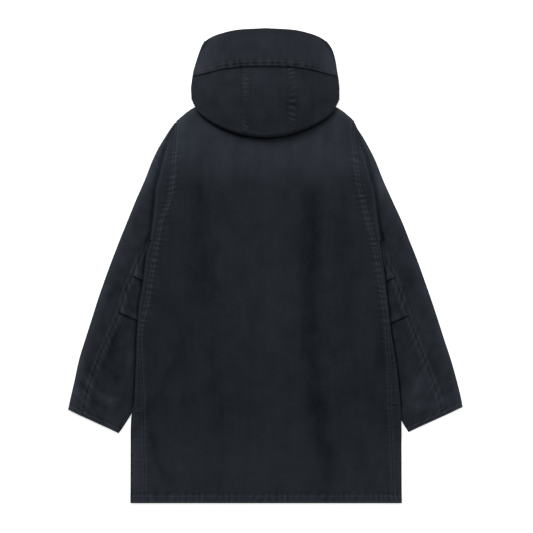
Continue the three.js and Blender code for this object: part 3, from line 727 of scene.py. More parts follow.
def strip_points(side, y, outer, seam):
    """The part of a front that shows on the back, from the side fold to the side seam."""
    sign = sign_of(side)
    points = []
    for i in range(1, STRIP_COLUMNS + 1):
        x = mix(outer, seam, i / STRIP_COLUMNS)
        d = x - seam
        relief, rubbed = past_side_seam(side, y, d)
        z = BACK_Z + lift(x, y, side) + 0.45 * relief
        z += 0.5 * math.sin(math.pi * i / STRIP_COLUMNS)
        z += hem_relief(y - HEM_Y, sign * x)
        wash = 0.8 * rubbed + hem_wash(y - HEM_Y, sign * x)
        wash += 0.20 * bump((outer - x) / 3) + tack_wash(sign * x, y, d, outer - x)
        wash += 0.03 + 0.17 * smooth((-325 - y) / 60)
        wash += patch_wash(PATCHES, sign * x, y)
        points.append(Cloth(sign * x, y, z, wash=wash + paler_shoulders(x, y)))
    return points


def make_front(side):
    """A front: flat on the floor, round the side fold, and onto the back as a narrow strip. Just above
    the underarm a hidden tongue of it keeps the light out."""
    sign = sign_of(side)

    def flat(x, y):
        return Cloth(sign * x, y, FRONT_Z + lift(x, y, side), DOWN)

    def columns(end, count):
        return [mix(FLY_HALF + SEAM_GAP, end, i / FRONT_COLUMNS) for i in range(count)]

    rows = []
    for y in spread(SHOULDER_Y, UNDERARM_Y, HIDDEN_STEP):
        xs = columns(seam_line[side](y) + TUCK, FRONT_COLUMNS + 1)
        rows.append([flat(x, upper_y(x, y, front_top)) for x in xs])
    tongue = [(UNDERARM_Y - 0.05, UNDERARM_Y + TUCK), (UNDERARM_Y - 0.1, UNDERARM_Y + 0.05)]
    for place, y in tongue + [(y, y) for y in lower_rows()]:
        edge = edge_line[side](y)
        up = y - HEM_Y
        fold = turn(sign, edge, y, FRONT_Z + lift(edge, y, side), BODY_TURN, FOLD_STEPS, True, 0.26)
        strip = strip_points(side, y, abs(fold[-1].at.x), seam_line[side](y) + SEAM_GAP / 2)
        for p in fold[-4:]:
            p.raised = 0.5 * max(0.0, hem_relief(up, sign * edge))
            p.wash += hem_wash(up, sign * edge)
        for p in fold + strip:
            p.at.z -= DIP if y > UNDERARM_Y else 0.0
        xs = columns(abs(fold[0].at.x), FRONT_COLUMNS)
        rows.append([flat(x, place) for x in xs] + fold + strip)
    cloth_piece(f"front_panel_{side}", f"front_{side}", "canvas", rows, (320, 930))


def make_fly():
    """The plain flap over the front opening, under the garment."""
    rows = [[Cloth(x, y, FRONT_Z, DOWN) for x in spread(-FLY_HALF, FLY_HALF, HIDDEN_STEP)]
            for y in spread(FLY_TOP, HEM_Y, FLY_STEP)]
    cloth_piece("front_fly_flap", "front_fly", "canvas", rows, (60, 819))


def meet(line, x, y, slope):
    """Where a slanting row that passes x, y meets a line."""
    here = y
    for _ in range(14):
        here = y + slope * (line(here) - x)
    return line(here), here


def row_slope(y):
    """The sleeve's rows lie level at the underarm and slant as the cuff does further down."""
    return CUFF_SLOPE * smooth((UNDERARM_Y - SLIT - y) / 90)


def cuff_relief(up, along):
    """The cuff's turned edge: a puffed band, short puckers and one sunk row of stitches."""
    band = 0.7 * smooth(up / 2.5) * smooth((CUFF_TURN + 1.2 - up) / 2.5)
    groove = -0.5 * bump((up - CUFF_TURN) / 1.6)
    rope = 0.3 * puckers(along, up, CUFF_ROPE, CUFF_SEED) * smooth((CUFF_TURN + 7 - up) / 9)
    return band + groove + rope


def cuff_wash(up, along):
    """How rubbed the cuff is: palest on its very edge."""
    if up > 30:
        return 0.0
    ropes = 0.15 * puckers(along, up, CUFF_ROPE, CUFF_SEED) * smooth((CUFF_TURN + 6 - up) / 8)
    edge = 0.70 * bump(up / 2.8) - 0.26 * bump((up - 4.6) / 1.3) + 0.28 * bump((up - 7.6) / 1.7)
    return ropes + edge - 0.30 * bump((up - CUFF_TURN) / 1.6)


def sleeve_relief(x, y, across, up, side, share):
    """Height and wash of the sleeve's upper layer, across from its back seam and up from its cuff."""
    seed = SLEEVE_SEEDS[side]
    along = math.hypot(x, y)
    z = 0.9 * drift(x / 42, y / 60, seed) * math.sin(math.pi * clamp(share))
    z += fold_height(CREASES, x, y)
    begun = smooth((UNDERARM_Y - y) / 24)
    z += begun * band_relief(across, along, 0.6, seed) + cuff_relief(up, along)
    wash = begun * band_wash(across, along, 0.6, seed) + cuff_wash(up, along)
    # The first term is painted light on the creases' ridges and painted shade in their troughs.
    wash += 0.20 * fold_height(CREASES, x, y) + 0.55 * paler_shoulders(x, y)
    wash += 0.14 * drift(x / 15, y / 22, seed) + 0.10 * smooth((90 - up) / 60)
    wash += patch_wash(PATCHES, x, y)
    return z, wash


def tube_row(side, y):
    """A row across the sleeve: its slope, its back seam, and where it meets the outer and inner folds."""
    slope = row_slope(y)
    seam = back_seam_line[side](y)
    outer = meet(outer_line[side], seam, y, slope)
    inner = meet(inner_line[side], seam, y, slope)
    return slope, seam, outer, inner


# Columns across the sleeve's outside, and across the flap of its head that lies on the body.
SLEEVE_SHARES = [
    0, 0.015, 0.035, 0.065, 0.10, 0.14, 0.19, 0.25, 0.32, 0.4, 0.48, 0.56, 0.64, 0.72, 0.8, 0.87, 0.93, 0.97,
]
FLAP_SHARES = [0, 0.06, 0.14, 0.24, 0.36, 0.5, 0.64, 0.78, 0.9, 1.0, 1.12]
CUFF_STEPS = [0, 0.8, 1.8, 3.2, 5, 7, 9, 10.4, 11.6, 13, 15.5, 19, 23]
CUFF_ROWS = 27
TUBE_STEP = 2.8
HEAD_TOP = 322
PART = 0.02                  # the sleeve's head and tube part without showing


def tube_heights():
    """Heights of the tube's rows on the back seam, from the underarm to the cuff."""
    high = spread(UNDERARM_Y - PART, CUFF_LINE_Y + CUFF_ROWS, TUBE_STEP)
    return high + [CUFF_LINE_Y + up for up in reversed(CUFF_STEPS)]


def up_from_cuff(y, slope):
    """How far a slanting row is from the cuff's edge, square to it."""
    return (y - CUFF_LINE_Y) / math.hypot(1, slope)


def outside_points(side, start, outer, radius, from_seam, up):
    """A row of the sleeve's outside, from its start to the outer fold, round it and a little back."""
    sign = sign_of(side)
    (x0, y0), (x1, y1) = start, outer
    end = x1 - CAD_HALF_WALL - radius
    points = []
    for share in SLEEVE_SHARES:
        x, y = mix(x0, end, share), mix(y0, y1, share)
        base = mix(UNDER_Z, FRONT_Z + 2 * radius, smooth(share * 1.3))
        z, wash = sleeve_relief(sign * x, y, from_seam + x - x0, up, side, share)
        z += 1.6 * math.sin(math.pi * share)
        wash += 0.15 * smooth((62 - end + x) / 60) + 0.26 * bump((end - x) / 10)
        points.append(Cloth(sign * x, y, base + z, wash=wash))
    fold = turn(sign, x1, y1, FRONT_Z, radius, FOLD_STEPS, False, 0.14)
    extra, wash = sleeve_relief(sign * x1, y1, FAR, up, side, 1.0)
    for p in fold[:5]:
        p.wash += wash + 0.40
    fold[0].at.z += 0.5 * extra
    fold[1].at.z += 0.25 * extra
    under = [Cloth(sign * mix(end, x0, t), mix(y1, y0, t), FRONT_Z, DOWN) for t in (0.3, 0.6)]
    return points + fold + under


def head_points(side, y):
    """A row of the sleeve's head: a flap from the armhole to the body's side fold, the sleeve's outside
    beside it, and a hidden layer back under the body."""
    sign = sign_of(side)
    seam = seam_line[side](y) + SEAM_GAP / 2
    outer_x = outer_line[side](y)
    radius = min(SLEEVE_TURN, (outer_x - seam) / 5)
    room = outer_x - CAD_HALF_WALL - radius
    fold = min(edge_line[side](y), mix(seam, room, 0.5))
    foot = min(fold + FOOT, mix(fold, room, 0.5))
    foot = mix(foot, back_seam_line[side](UNDERARM_Y) + SEAM_GAP / 2, smooth((72 - y) / 14))
    raised = lift(seam, y, side)
    top = BACK_Z + raised
    crisp = smooth((306 - y) / 60)
    flap = []
    for share in FLAP_SHARES:
        x = mix(seam, fold, share)
        relief, rubbed = past_side_seam(side, y, x - seam)
        z = top + 0.9 * math.sin(math.pi * clamp(share)) * crisp
        z += 0.5 * relief
        if share > 1 and crisp > 0.3:
            z = mix(top, UNDER_Z, 0.35)
        wash = 0.9 * rubbed
        wash += 0.8 * paler_shoulders(x, y)
        # Paler just inside the fold's edge. The column past the fold, where the flap tucks down, is darkened
        # with painted shade.
        wash += 0.20 * crisp * bump((x - fold + 1.5) / 2.5) - (0.22 * crisp if share > 1 else 0)
        flap.append(Cloth(sign * x, y, z, wash=wash + patch_wash(PATCHES, sign * x, y)))
    outside = outside_points(side, (foot, y), (outer_x, y), radius, FAR, FAR)
    # Painted shadow of the body's side fold on the sleeve beside it.
    for p in outside[:8]:
        p.wash -= 0.26 * crisp * bump((abs(p.at.x) - foot) / 5)
    under = []
    for share, height in ((0, 0), (0.3, 0.12), (0.65, 0.5), (1, 1)):
        under.append(Cloth(sign * mix(foot, seam + TUCK, share), y, FRONT_Z + height * raised, DOWN))
    return flap + outside + under


def tube_points(side, y):
    """A row of the sleeve's tube: from the back seam over its outside, back under it to the inner fold,
    and round that to a lip that the under sleeve meets."""
    sign = sign_of(side)
    slope, seam, outer, inner = tube_row(side, y)
    start = seam + SEAM_GAP / 2
    up = up_from_cuff(y, slope)
    outside = outside_points(side, (start, y), outer, SLEEVE_TURN, 0, up)
    # The same painted shadow of the body's side fold, fading out below the underarm.
    for p in outside[:8]:
        p.wash -= 0.26 * smooth((y - UNDERARM_Y + 26) / 26) * bump((abs(p.at.x) - start) / 5)
    under = [Cloth(sign * mix(start, inner[0], t), mix(y, inner[1], t), FRONT_Z, DOWN)
             for t in (0, 0.3, 0.65)]
    fold = turn(-sign, -inner[0], inner[1], FRONT_Z, INNER_TURN, 6, True)
    lip = []
    for d in (3, LIP):
        here = inner[1] + slope * d
        z, wash = sleeve_relief(sign * inner[0], here, FAR, up, side, 0)
        lip.append(Cloth(sign * (inner[0] + d), here, UNDER_Z + z, wash=wash))
    return outside + under + fold + lip


def make_sleeve_top(side):
    """The sleeve's top: its head and its tube, which part at the underarm but under the outside."""
    flap = len(FLAP_SHARES)
    head = [head_points(side, y) for y in spread(HEAD_TOP, UNDERARM_Y, ROW_STEP)]
    tube = [[None] * flap + tube_points(side, y) for y in tube_heights()]
    width = len(tube[0])
    head = [row + [None] * (width - len(row)) for row in head]
    join = len(head) - 1
    shared = len(SLEEVE_SHARES) + FOLD_STEPS + 1 + 2

    def parted(i, j):
        return i == join and not flap <= j < flap + shared

    cloth_piece(f"sleeve_top_panel_{side}", f"sleeve_top_{side}", "canvas", head + tube,
                (330, 720), skip=parted)


UNDER_COLUMNS = [0, 0.8, 1.8, 3.2, 5, 7, 9.5, 13, 18]
UNDER_SPREAD = 26            # even columns past those, from 24 mm on


def lapped_edge(y, edge):
    """Height and wash of a piece that is lapped over the next one, near its stitched lower edge."""
    raised = LAP_STEP * smooth((edge + LAP_WIDTH - y + 3) / 4) + 0.6 * bump((y - edge - 4) / 3.5)
    tone = 0.20 * bump((y - edge - 1.5) / 2) + 0.10 * bump((y - edge - 8) / 1.6)
    return raised, tone - 0.10 * bump((y - edge - 5.2) / 1.2)


def make_under_sleeve(side):
    """The three pieces between the back seam and the inner fold, each lapped over the next."""
    sign = sign_of(side)
    upper, lower = ELBOW[side]["upper"], ELBOW[side]["lower"]
    clear = LAP_WIDTH - 1.5
    parts = (
        ("under_sleeve_upper", UNDERARM_Y - SLIT, upper, upper, (100, 90)),
        ("elbow_panel", upper + clear, lower, lower, (150, 110)),
        ("under_sleeve_lower", lower + clear, CUFF_LINE_Y, None, (190, 290)),
    )
    for name, top, bottom, laps, flat in parts:
        rows = []
        heights = spread(top, bottom, 3.0)
        if laps is None:
            heights = [top] + [y for y in tube_heights() if y < top - 1]
        for y in heights:
            slope, seam, _, inner = tube_row(side, y)
            start, end = seam - SEAM_GAP / 2, inner[0] + LIP + SEAM_GAP
            raised, tone = (0.0, 0.0) if laps is None else lapped_edge(y, laps)
            # Where a piece lies under the lapped edge of the one above, its top is darkened with painted
            # shadow.
            if top < UNDERARM_Y - 20:
                tone -= 0.45 * smooth((y - top + 14) / 6)
            width = start - end
            up = up_from_cuff(y, slope)
            row = []
            for d in UNDER_COLUMNS + spread_evenly(24, width, UNDER_SPREAD):
                d = min(d, width)
                x, here = start - d, y - slope * d
                z, wash = sleeve_relief(sign * x, here, -0.6 - d * 0.55, up, side, 0.5)
                z = z * (0.3 + 0.7 * smooth(d / 4)) + 0.8 * math.sin(math.pi * (d / width))
                past_edge = x - edge_line[side](here)
                tucked = smooth((4 - past_edge) / 8) * smooth((here + 325) / 30)
                z = mix(z, 0.0, tucked)
                # Painted shade along the body's side fold, where the under sleeve lies beside and beneath
                # it.
                shaded = smooth((7 - past_edge) / 6) * smooth((here + 335) / 20)
                wash -= 0.30 * shaded * smooth((UNDERARM_Y + 2 - here) / 12)
                row.append(Cloth(sign * x, here, UNDER_Z + raised + z, wash=wash + tone))
            rows.append(row)
        cloth_piece(f"{name}_cloth_{side}", f"{name}_{side}", "canvas", rows, flat)


# Sizes across the hood: at its sides, and how much more they grow towards its middle.
POUCH_RADIUS = {"side": 2.0, "swell": 7.5, "power": 0.7}
BRIM_HEIGHT = {"side": 6.6, "swell": 22, "power": 0.8}
TOP_HEIGHT = {"side": 4.6, "swell": 5, "power": 0.8}
HOOD_HUMP = {"side": 0, "swell": 15, "power": 0.9}


def across_hood(size, a):
    """A size of the hood at a, which goes from -1 at its left side to 1 at its right."""
    return size["side"] + size["swell"] * (1 - min(1.0, abs(a)) ** 2) ** size["power"]


def pouch_radius(a):
    """Radius of the hood's lowest turn."""
    return across_hood(POUCH_RADIUS, a)


def pouch_height(a):
    """Height at which the hood's turn ends and its outside begins."""
    return HOOD_LOW_Z + 2 * pouch_radius(a)


# Soft dents and swells of the hood.
HOOD_CREASES = table("x0 y0 x1 y1 width rise", [
    (-150, 372, -96, 338, 12, -1.2), (150, 376, 104, 340, 12, -1.2),
    (-120, 420, -70, 412, 14, 0.9), (80, 424, 140, 410, 14, 0.8), (-30, 350, 44, 346, 12, -0.8),
    (-100, 492, -30, 500, 12, 0.8), (30, 496, 120, 486, 13, -0.8),
])
HOOD_BAND = 7.0              # from the hood's felled seams to each row of their stitches
# The two seams' puckers: their pitch and slant, how far below the brim they begin to show, and how
# much of the seam is pale between them.
HOOD_LADDERS = [
    {"side": "left", "pitch": 5.6, "slant": 0.3, "starts": 0.26, "fill": 0.25, "seed": 40.0},
    {"side": "right", "pitch": 12.5, "slant": 1.2, "starts": 0.06, "fill": 0.0, "seed": 47.0},
]


def hood_relief(a, x, y, b):
    """Height and colour of the hood's cloth: felled seams, puckers, soft dents, the rubbed seam edges and
    painted shade just below the brim.
    """
    z = fold_height(HOOD_CREASES, x, y) + 0.8 * drift(x / 34, y / 40, 12.0)
    # The second term is painted shade just below the brim's lapped edge.
    wash = 0.05 * drift(x / 20, y / 20, 2.0) - 0.10 * bump((1 - b) / 0.10)
    wash += patch_wash(HOOD_PATCHES, x, y)
    if b >= 1:
        return z, wash
    for ladder in HOOD_LADDERS:
        across = (a - HOOD_SEAM[ladder["side"]]) * HOOD_HALF
        d = abs(across)
        if d > 24:
            continue
        pucker = puckers(y, ladder["slant"] * across, ladder["pitch"], ladder["seed"])
        size = clamp(0.8 + 1.3 * drift(y / 20, ladder["seed"], 3.3), 0.15, 1.4)
        size *= smooth((1 - b) / ladder["starts"])
        z += 0.5 * smooth((HOOD_BAND + 1.5 - d) / 3) - 0.35 * bump((d - HOOD_BAND) / 1.3)
        z += 0.4 * pucker * smooth((20 - d) / 12)
        dash = size * max(0.0, pucker + ladder["fill"]) * smooth((HOOD_BAND + 0.5 - d) / 3.5)
        wash += 0.40 * dash + 0.10 * size * pucker * smooth((16 - d) / 8)
        wash -= 0.07 * smooth((HOOD_BAND + 5 - d) / 4)
    return z, wash


def shell_point(a, b, extra=0.0, bare=False):
    """A point of the hood's outside: a from side to side, b from 0 at its lowest turn through 1 at the
    brim's seam to 2 at the top edge."""
    if b < 1:
        row_end = mix(SIDE_ROWS["turn"], SIDE_ROWS["brim"], b)
    else:
        row_end = mix(SIDE_ROWS["brim"], SIDE_ROWS["top"], b - 1)
    x = a * (hood_side_line[side_of(a)](row_end) - CAD_HALF_WALL - 1.2)
    low = pouch_line(abs(x) * 0.994) + pouch_radius(a)
    seam, top = brim_line(abs(x)), top_line(abs(x))
    brim_height = across_hood(BRIM_HEIGHT, a)
    if b < 1:
        y = mix(min(low, seam - 40), seam, b)
        hump = across_hood(HOOD_HUMP, a) * math.sin(math.pi * b) ** 0.9 if 0 < b else 0.0
        z = mix(pouch_height(a), brim_height, b) + hump
    else:
        y = mix(seam, top, b - 1)
        z = mix(across_hood(TOP_HEIGHT, a), brim_height, max(0.0, 2 - b) ** 1.25)
    relief, wash = (0.0, 0.0) if bare else hood_relief(a, x, y, b)
    edges = smooth((1 - abs(a)) / 0.1)
    return Cloth(x, y, z + extra + relief * edges, None, wash)


def pouch_point(a, k, inset=0.0):
    """A point of the pouch's turn: k from 0, on the back, to 1, where the shell begins."""
    start = shell_point(a, 0)
    radius = pouch_radius(a)
    angle = math.pi * (k - 0.5)
    x, y, z = start.at
    round_radius = radius - inset
    height = HOOD_LOW_Z + radius + round_radius * math.sin(angle) + (z - pouch_height(a)) * smooth(k)
    # The lower part of the turn, facing down onto the back, is darkened with painted shade.
    wash = start.wash * smooth(k / 0.6) - 0.34 * smooth((0.62 - k) / 0.5)
    return Cloth(x, y - round_radius * math.cos(angle), height, None, wash)


def neck_point(a, k, inset=0.0):
    """A point of the layer between the neckline and the hood's turn, k from one to the other."""
    x, y, z = pouch_point(a, 0, inset).at
    nx = a * NECK_HALF
    # This layer lies under the hood's turn and is painted a shade darker: painted shade.
    return Cloth(mix(nx, x, k), mix(back_top(abs(nx)) - 5, y, k), HOOD_LOW_Z + inset, None, -0.1)


FLOOR_COLUMNS = (128, 96, 64, 34, MOUTH_HALF)
SIDE_STEPS = 8               # faces round the hood's side
SIDE_COUNT = SIDE_STEPS + len(FLOOR_COLUMNS)


def side_points(sign, b):
    """A row round the hood's side and on under the hood, to the edge of its face opening."""
    edge = shell_point(sign, b, bare=True)
    radius = (edge.at.z - FRONT_Z) / 2
    nose = abs(edge.at.x) + CAD_HALF_WALL + 1.6
    points = turn(sign, nose, edge.at.y, FRONT_Z, radius, SIDE_STEPS, False)[1:]
    for x in FLOOR_COLUMNS:
        low = max(front_top(x), front_top(x + NECK_CLEAR)) + 5
        y = mix(low, top_line(x) - 3, b / 2)
        points.append(Cloth(sign * x, y, FRONT_Z, DOWN))
    for p in points:
        p.out = None
    return points


def hood_row(shares, b, extra=0.0):
    """A row of the hood's outside, with its side where the row ends there."""
    row = [shell_point(a, b, extra * (0.5 if abs(a) == 1 else 1)) for a in shares]
    left = side_points(-1, b)[::-1] if shares[0] == -1 else []
    right = side_points(1, b) if shares[-1] == 1 else []
    return left + row + right


def padded_row(shares, row):
    """A row that stops at the side: what hood_row has past it is left open."""
    left = [None] * SIDE_COUNT if shares[0] == -1 else []
    right = [None] * SIDE_COUNT if shares[-1] == 1 else []
    return left + row + right


def rounded_shares(start, end, count):
    """Shares across the hood, closer together beside its edges and seams."""
    return [mix(start, end, 0.5 - 0.5 * math.cos(math.pi * i / count)) for i in range(count + 1)]


PANEL_END = 0.985            # how far up the panels reach, under the brim's lower edge
PANEL_COLUMNS = {"side": 44, "centre": 42}
PANEL_ROWS = 50
TURN_ROWS = 12
TUCK_DEPTH = SHELL + 0.4


def make_hood_panel(name, node, start, end, flat, tucks=False):
    """A panel between two shares across. With tucks its long edges reach under its neighbours'."""
    rim = 0.6 / HOOD_HALF
    if tucks:
        shares = rounded_shares(start + rim, end - rim, PANEL_COLUMNS["centre"])
        low = [(start - 4 * rim, TUCK_DEPTH), (start + 0.25 * rim, TUCK_DEPTH)]
        high = [(end - 0.25 * rim, TUCK_DEPTH), (end + 4 * rim, TUCK_DEPTH)]
        columns = low + [(a, 0.0) for a in shares] + high
    else:
        shares = rounded_shares(start, end, PANEL_COLUMNS["side"])
        columns = [(a, 0.0) for a in shares]
    turned = [[neck_point(a, k, d) for a, d in columns] for k in (0, 0.3, 0.6, 0.85)]
    turned += [[pouch_point(a, k / TURN_ROWS, d) for a, d in columns] for k in range(TURN_ROWS)]
    rows = [padded_row(shares, row) for row in turned]
    for b in spread(0, PANEL_END, 1 / PANEL_ROWS):
        rows.append([shell_point(a, b, -d) for a, d in columns] if tucks else hood_row(shares, b))
    cloth_piece(name, node, "hood_canvas", rows, flat)


def make_hood_panels():
    """Three panels, parted by the hood's two felled seams."""
    half_gap = SEAM_GAP / 2 / HOOD_HALF
    left, right = HOOD_SEAM["left"], HOOD_SEAM["right"]
    make_hood_panel("hood_panel_left", "hood_left", -1, left - half_gap, (230, 330))
    make_hood_panel("hood_panel_centre", "hood_centre", left + half_gap, right - half_gap, (125, 270),
                    tucks=True)
    make_hood_panel("hood_panel_right", "hood_right", right + half_gap, 1, (230, 330))


BRIM_BAND = 13               # from the brim's lower edge to its upper row of stitches
BRIM_COLUMNS = 110
PANEL_HEIGHT = 110           # what b from 0 to 1 measures along the cloth
BRIM_WIDTH = 78              # what b from 1 to 2 measures


def brim_wash(up, x):
    """The brim's lower edge is rubbed pale and stitched twice."""
    size = 0.3 + 0.7 * smooth((140 - abs(x)) / 60)
    ropes = puckers(x, up, BRIM_ROPE, BRIM_SEED) * smooth((BRIM_BAND + 6 - up) / 8) * smooth(up / 3)
    rub = 0.05 * bump((up - BRIM_BAND + 2) / 2) - 0.07 * smooth((BRIM_BAND + 5 - up) / 8)
    lines = -0.10 * bump((up - BRIM_BAND) / 1.5) - 0.14 * bump(up / 1.6)
    return size * (0.20 * max(-0.35, ropes) + rub) + lines


def make_hood_brim():
    """The brim, which laps over the panels and goes on to the hood's top edge."""
    shares = rounded_shares(-1, 1, BRIM_COLUMNS)
    lap = 1 - BRIM_LAP / PANEL_HEIGHT
    places = spread(lap, PANEL_END, 0.01) + [0.991, 1.005, 1.02, 1.035] + spread(1.05, 1.16, 0.018)
    places += spread(1.19, 2, 1 / 28)
    rows = []
    for b in places:
        lapped = BRIM_STEP * smooth((1.13 - b) / 0.13)
        if b <= PANEL_END:
            row = padded_row(shares, [shell_point(a, b, lapped) for a in shares])
        else:
            row = hood_row(shares, b, lapped)
        up = (min(b, 1) - lap) * PANEL_HEIGHT + max(0.0, b - 1) * BRIM_WIDTH
        for p in row:
            if p and p.at.z > 6:
                ropes = puckers(p.at.x, up, BRIM_ROPE, BRIM_SEED) * smooth((BRIM_BAND + 8 - up) / 10)
                p.wash += brim_wash(up, p.at.x) + 0.03 + 0.26 * smooth((abs(p.at.x) - 95) / 60)
                p.at.z += 0.6 * smooth((BRIM_BAND + 1 - up) / 3) - 0.4 * bump((up - BRIM_BAND) / 1.8)
                p.at.z += 0.45 * ropes * smooth(up / 3)
        rows.append(row)
    cloth_piece("hood_brim_band", "hood_brim", "hood_canvas", rows, (680, 125))


STITCH = 2.9                 # length of a stitch
PITCH = 3.7                  # from one stitch to the next
THREAD_WIDTH = 0.8           # the real thread is 0.4 mm, drawn thicker so that it shows
THREAD_SINK = 0.12           # how deep its sides sink into the cloth
INNER_ROW = 2.2              # from a seam to its nearer row of stitches
# A stitch's rings: their places along it and their widths, as shares, and their heights. A ring's points
# are given across it and up.
STITCH_RINGS = ((-0.5, 0.35, -0.15), (-0.2, 1.0, 0.32), (0.2, 1.0, 0.32), (0.5, 0.35, -0.15))
RING_POINTS = ((-0.5, 0.0), (-0.25, 1.0), (0.25, 1.0), (0.5, 0.0))


def seat_trees(names):
    """Trees of the named pieces' surfaces, to lay stitches on."""
    trees = []
    for name in names:
        mesh = pieces[name].data
        verts = [v.co for v in mesh.vertices]
        trees.append(BVHTree.FromPolygons(verts, [tuple(p.vertices) for p in mesh.polygons]))
    return trees


def seat(trees, x, y):
    """The highest place of the pieces under x, y, and its normal."""
    best = None
    for tree in trees:
        hit = tree.ray_cast(Vector((x, y, 200)) * MM, Vector(DOWN))
        if hit[0] is not None and (best is None or hit[0].z > best[0].z):
            best = hit
    return best


def stitch_places(run):
    """The middle and the heading of each stitch along a run of points."""
    path = [Vector((x, y)) for x, y in run]
    lengths = [0.0]
    for a, b in zip(path, path[1:]):
        lengths.append(lengths[-1] + (b - a).length)
    place = PITCH / 2
    while place < lengths[-1]:
        i = min(max(1, bisect_right(lengths, place)), len(path) - 1)
        a, b = path[i - 1], path[i]
        t = (place - lengths[i - 1]) / max(1e-6, lengths[i] - lengths[i - 1])
        yield a.lerp(b, t), (b - a).normalized()
        place += PITCH


def add_stitch(verts, faces, middle, normal, heading):
    """A stitch is a short low grain that sinks into the cloth at both ends."""
    along = Vector((heading.x, heading.y, 0))
    along = (along - normal * along.dot(normal)).normalized()
    across = normal.cross(along)
    first = len(verts)
    for step, wide, high in STITCH_RINGS:
        centre = middle + along * step * STITCH * MM
        for side, up in RING_POINTS:
            rise = (high * up - THREAD_SINK) * MM
            verts.append(centre + across * side * wide * THREAD_WIDTH * MM + normal * rise)
    for ring in range(3):
        for k in range(4):
            n = (k + 1) % 4
            c0, c1 = first + 4 * ring, first + 4 * ring + 4
            faces.append((c0 + k, c0 + n, c1 + n, c1 + k))
    faces.append((first + 3, first + 2, first + 1, first))
    faces.append((first + 12, first + 13, first + 14, first + 15))


def stitch_runs(name, runs, names):
    """Sewn rows as one piece, laid on the named pieces."""
    trees = seat_trees(names)
    verts, faces = [], []
    for run in runs:
        for middle, heading in stitch_places(run):
            hit = seat(trees, *middle)
            if hit is not None:
                add_stitch(verts, faces, hit[0], hit[1].normalized(), heading)
    finish_piece(new_object(name, new_mesh(name, verts, faces)), THREAD)


def along_seam(line, side, inset, top, bottom):
    """Points beside a seam, for a row of stitches."""
    sign = sign_of(side)
    return [(sign * (line[side](y) + inset), y) for y in spread(top, bottom, 4)]


def body_runs():
    """Two rows beside each side seam, and one round the hem."""
    runs = []
    for side in SIDES:
        for inset in (-BAND, -INNER_ROW):
            runs.append(along_seam(seam_line, side, inset, 318, HEM_Y + 2))
    return runs + [[(x, HEM_Y + HEM_TURN) for x in spread(-301, 303, 4)]]


def sleeve_runs():
    """Two rows beside each back seam, one round the cuff and one on each lapped edge at the elbow."""
    runs = []
    for side in SIDES:
        sign = sign_of(side)
        for inset in (BAND, INNER_ROW):
            runs.append(along_seam(back_seam_line, side, inset, 30, CUFF_LINE_Y + 6))
        _, _, outer, inner = tube_row(side, CUFF_LINE_Y + CUFF_TURN * 1.1)
        start, end = outer[0] - 1.5, inner[0] + 1.5
        shares = spread_evenly(0, 1, 40)
        runs.append([(sign * mix(start, end, t), mix(outer[1], inner[1], t)) for t in shares])
        for key in ("upper", "lower"):
            y = ELBOW[side][key] + 6
            slope, seam, _, _ = tube_row(side, y)
            runs.append([(sign * (seam - d), y - slope * d) for d in spread(1, 60, 3)])
    return runs


def hood_runs():
    """Four rows beside and on each of the hood's seams, and two along the brim's."""
    runs = []
    for side in SIDES:
        for shift in (-HOOD_BAND, -1.8, 1.8, HOOD_BAND):
            a = HOOD_SEAM[side] + shift / HOOD_HALF
            runs.append([shell_point(a, b).at[:2] for b in spread(0, 0.93, 0.03)])
    for b in (0.975, 1.065):
        runs.append([shell_point(a, b).at[:2] for a in spread(-0.97, 0.97, 0.02)])
    return runs


def make_stitches():
    """The topstitching, as one piece each for the body, the sleeves and the hood."""
    fronts = [f"front_panel_{side}" for side in SIDES]
    parts = ("sleeve_top_panel", "under_sleeve_upper_cloth", "elbow_panel_cloth", "under_sleeve_lower_cloth")
    sleeves = [f"{part}_{side}" for side in SIDES for part in parts]
    hood = [f"hood_panel_{place}" for place in ("left", "centre", "right")] + ["hood_brim_band"]
    stitch_runs("topstitching_body", body_runs(), ["back_panel"] + fronts)
    stitch_runs("topstitching_sleeves", sleeve_runs(), ["back_panel"] + fronts + sleeves)
    stitch_runs("topstitching_hood", hood_runs(), hood)


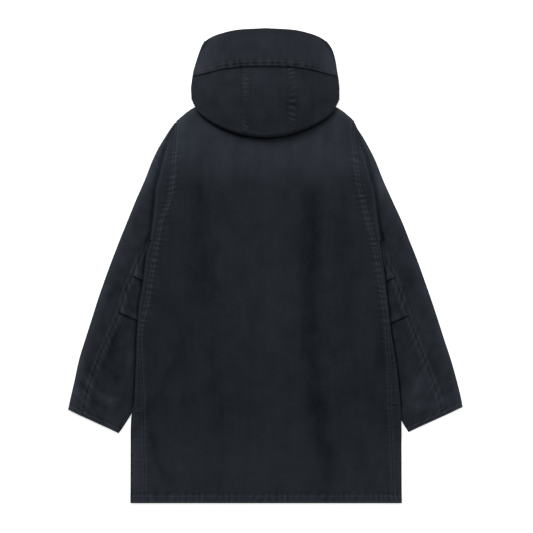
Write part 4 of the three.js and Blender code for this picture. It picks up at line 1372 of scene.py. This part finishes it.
FLOOR_HALF = 25.0            # metres, as are all the sizes of the stage
FLOOR_Z = -0.0003
PHOTO_WIDTH = 1.19925        # width of the photo's frame on the garment
PHOTO_MIDDLE = (0.00225, -0.0016)   # where the photo's middle falls on the garment
GARMENT_HEIGHT = 0.004       # of the cloth that the frame's width is measured on
CAMERA_HEIGHT = 4.0
SENSOR = 36                  # millimetres, as is the lens
LIGHTS = (
    {"name": "key", "place": (-1.1, 2.3, 2.0), "size": 1.3, "power": 78},
    {"name": "fill", "place": (1.5, 0.5, 2.2), "size": 2.0, "power": 18},
)


def make_floor():
    """A plain white studio floor, which glows a little so that it stays white."""
    half = FLOOR_HALF
    corners = [(x, y, FLOOR_Z) for x, y in ((-half, -half), (half, -half), (half, half), (-half, half))]
    floor = new_object("studio_floor", new_mesh("studio_floor", corners, [(0, 1, 2, 3)]))
    material = bpy.data.materials.new("white_paper_floor")
    material.use_nodes = True
    sockets = material.node_tree.nodes["Principled BSDF"].inputs
    sockets["Base Color"].default_value = from_hex("#f4f4f4")
    sockets["Roughness"].default_value = 0.9
    sockets["Emission Color"].default_value = from_hex("#ffffff")
    sockets["Emission Strength"].default_value = 0.6
    floor.data.materials.append(material)


def make_light(name, place, size, power):
    """A square soft light that faces the middle of the garment."""
    data = bpy.data.lights.new(name, "AREA")
    data.shape = "SQUARE"
    data.size = size
    data.energy = power
    light = new_object(name, data)
    light.location = place
    light.rotation_euler = (-Vector(place)).to_track_quat("-Z", "Y").to_euler()


def make_camera():
    """The camera looks straight down on the garment, through a long lens."""
    data = bpy.data.cameras.new("camera")
    data.sensor_width = SENSOR
    data.lens = SENSOR * CAMERA_HEIGHT / PHOTO_WIDTH
    camera = new_object("camera", data)
    camera.location = (*PHOTO_MIDDLE, CAMERA_HEIGHT + GARMENT_HEIGHT)
    bpy.context.scene.camera = camera


def make_world():
    """Weak white light from all round."""
    world = bpy.data.worlds.new("studio")
    world.use_nodes = True
    sockets = world.node_tree.nodes["Background"].inputs
    sockets["Color"].default_value = from_hex("#ffffff")
    sockets["Strength"].default_value = 0.3
    bpy.context.scene.world = world
    bpy.context.scene.view_settings.view_transform = "Standard"


make_camera()
make_world()
make_floor()
for light in LIGHTS:
    make_light(**light)
make_fly()
for side in SIDES:
    make_front(side)
    make_sleeve_top(side)
    make_under_sleeve(side)
make_back()
make_hood_panels()
make_hood_brim()
make_stitches()
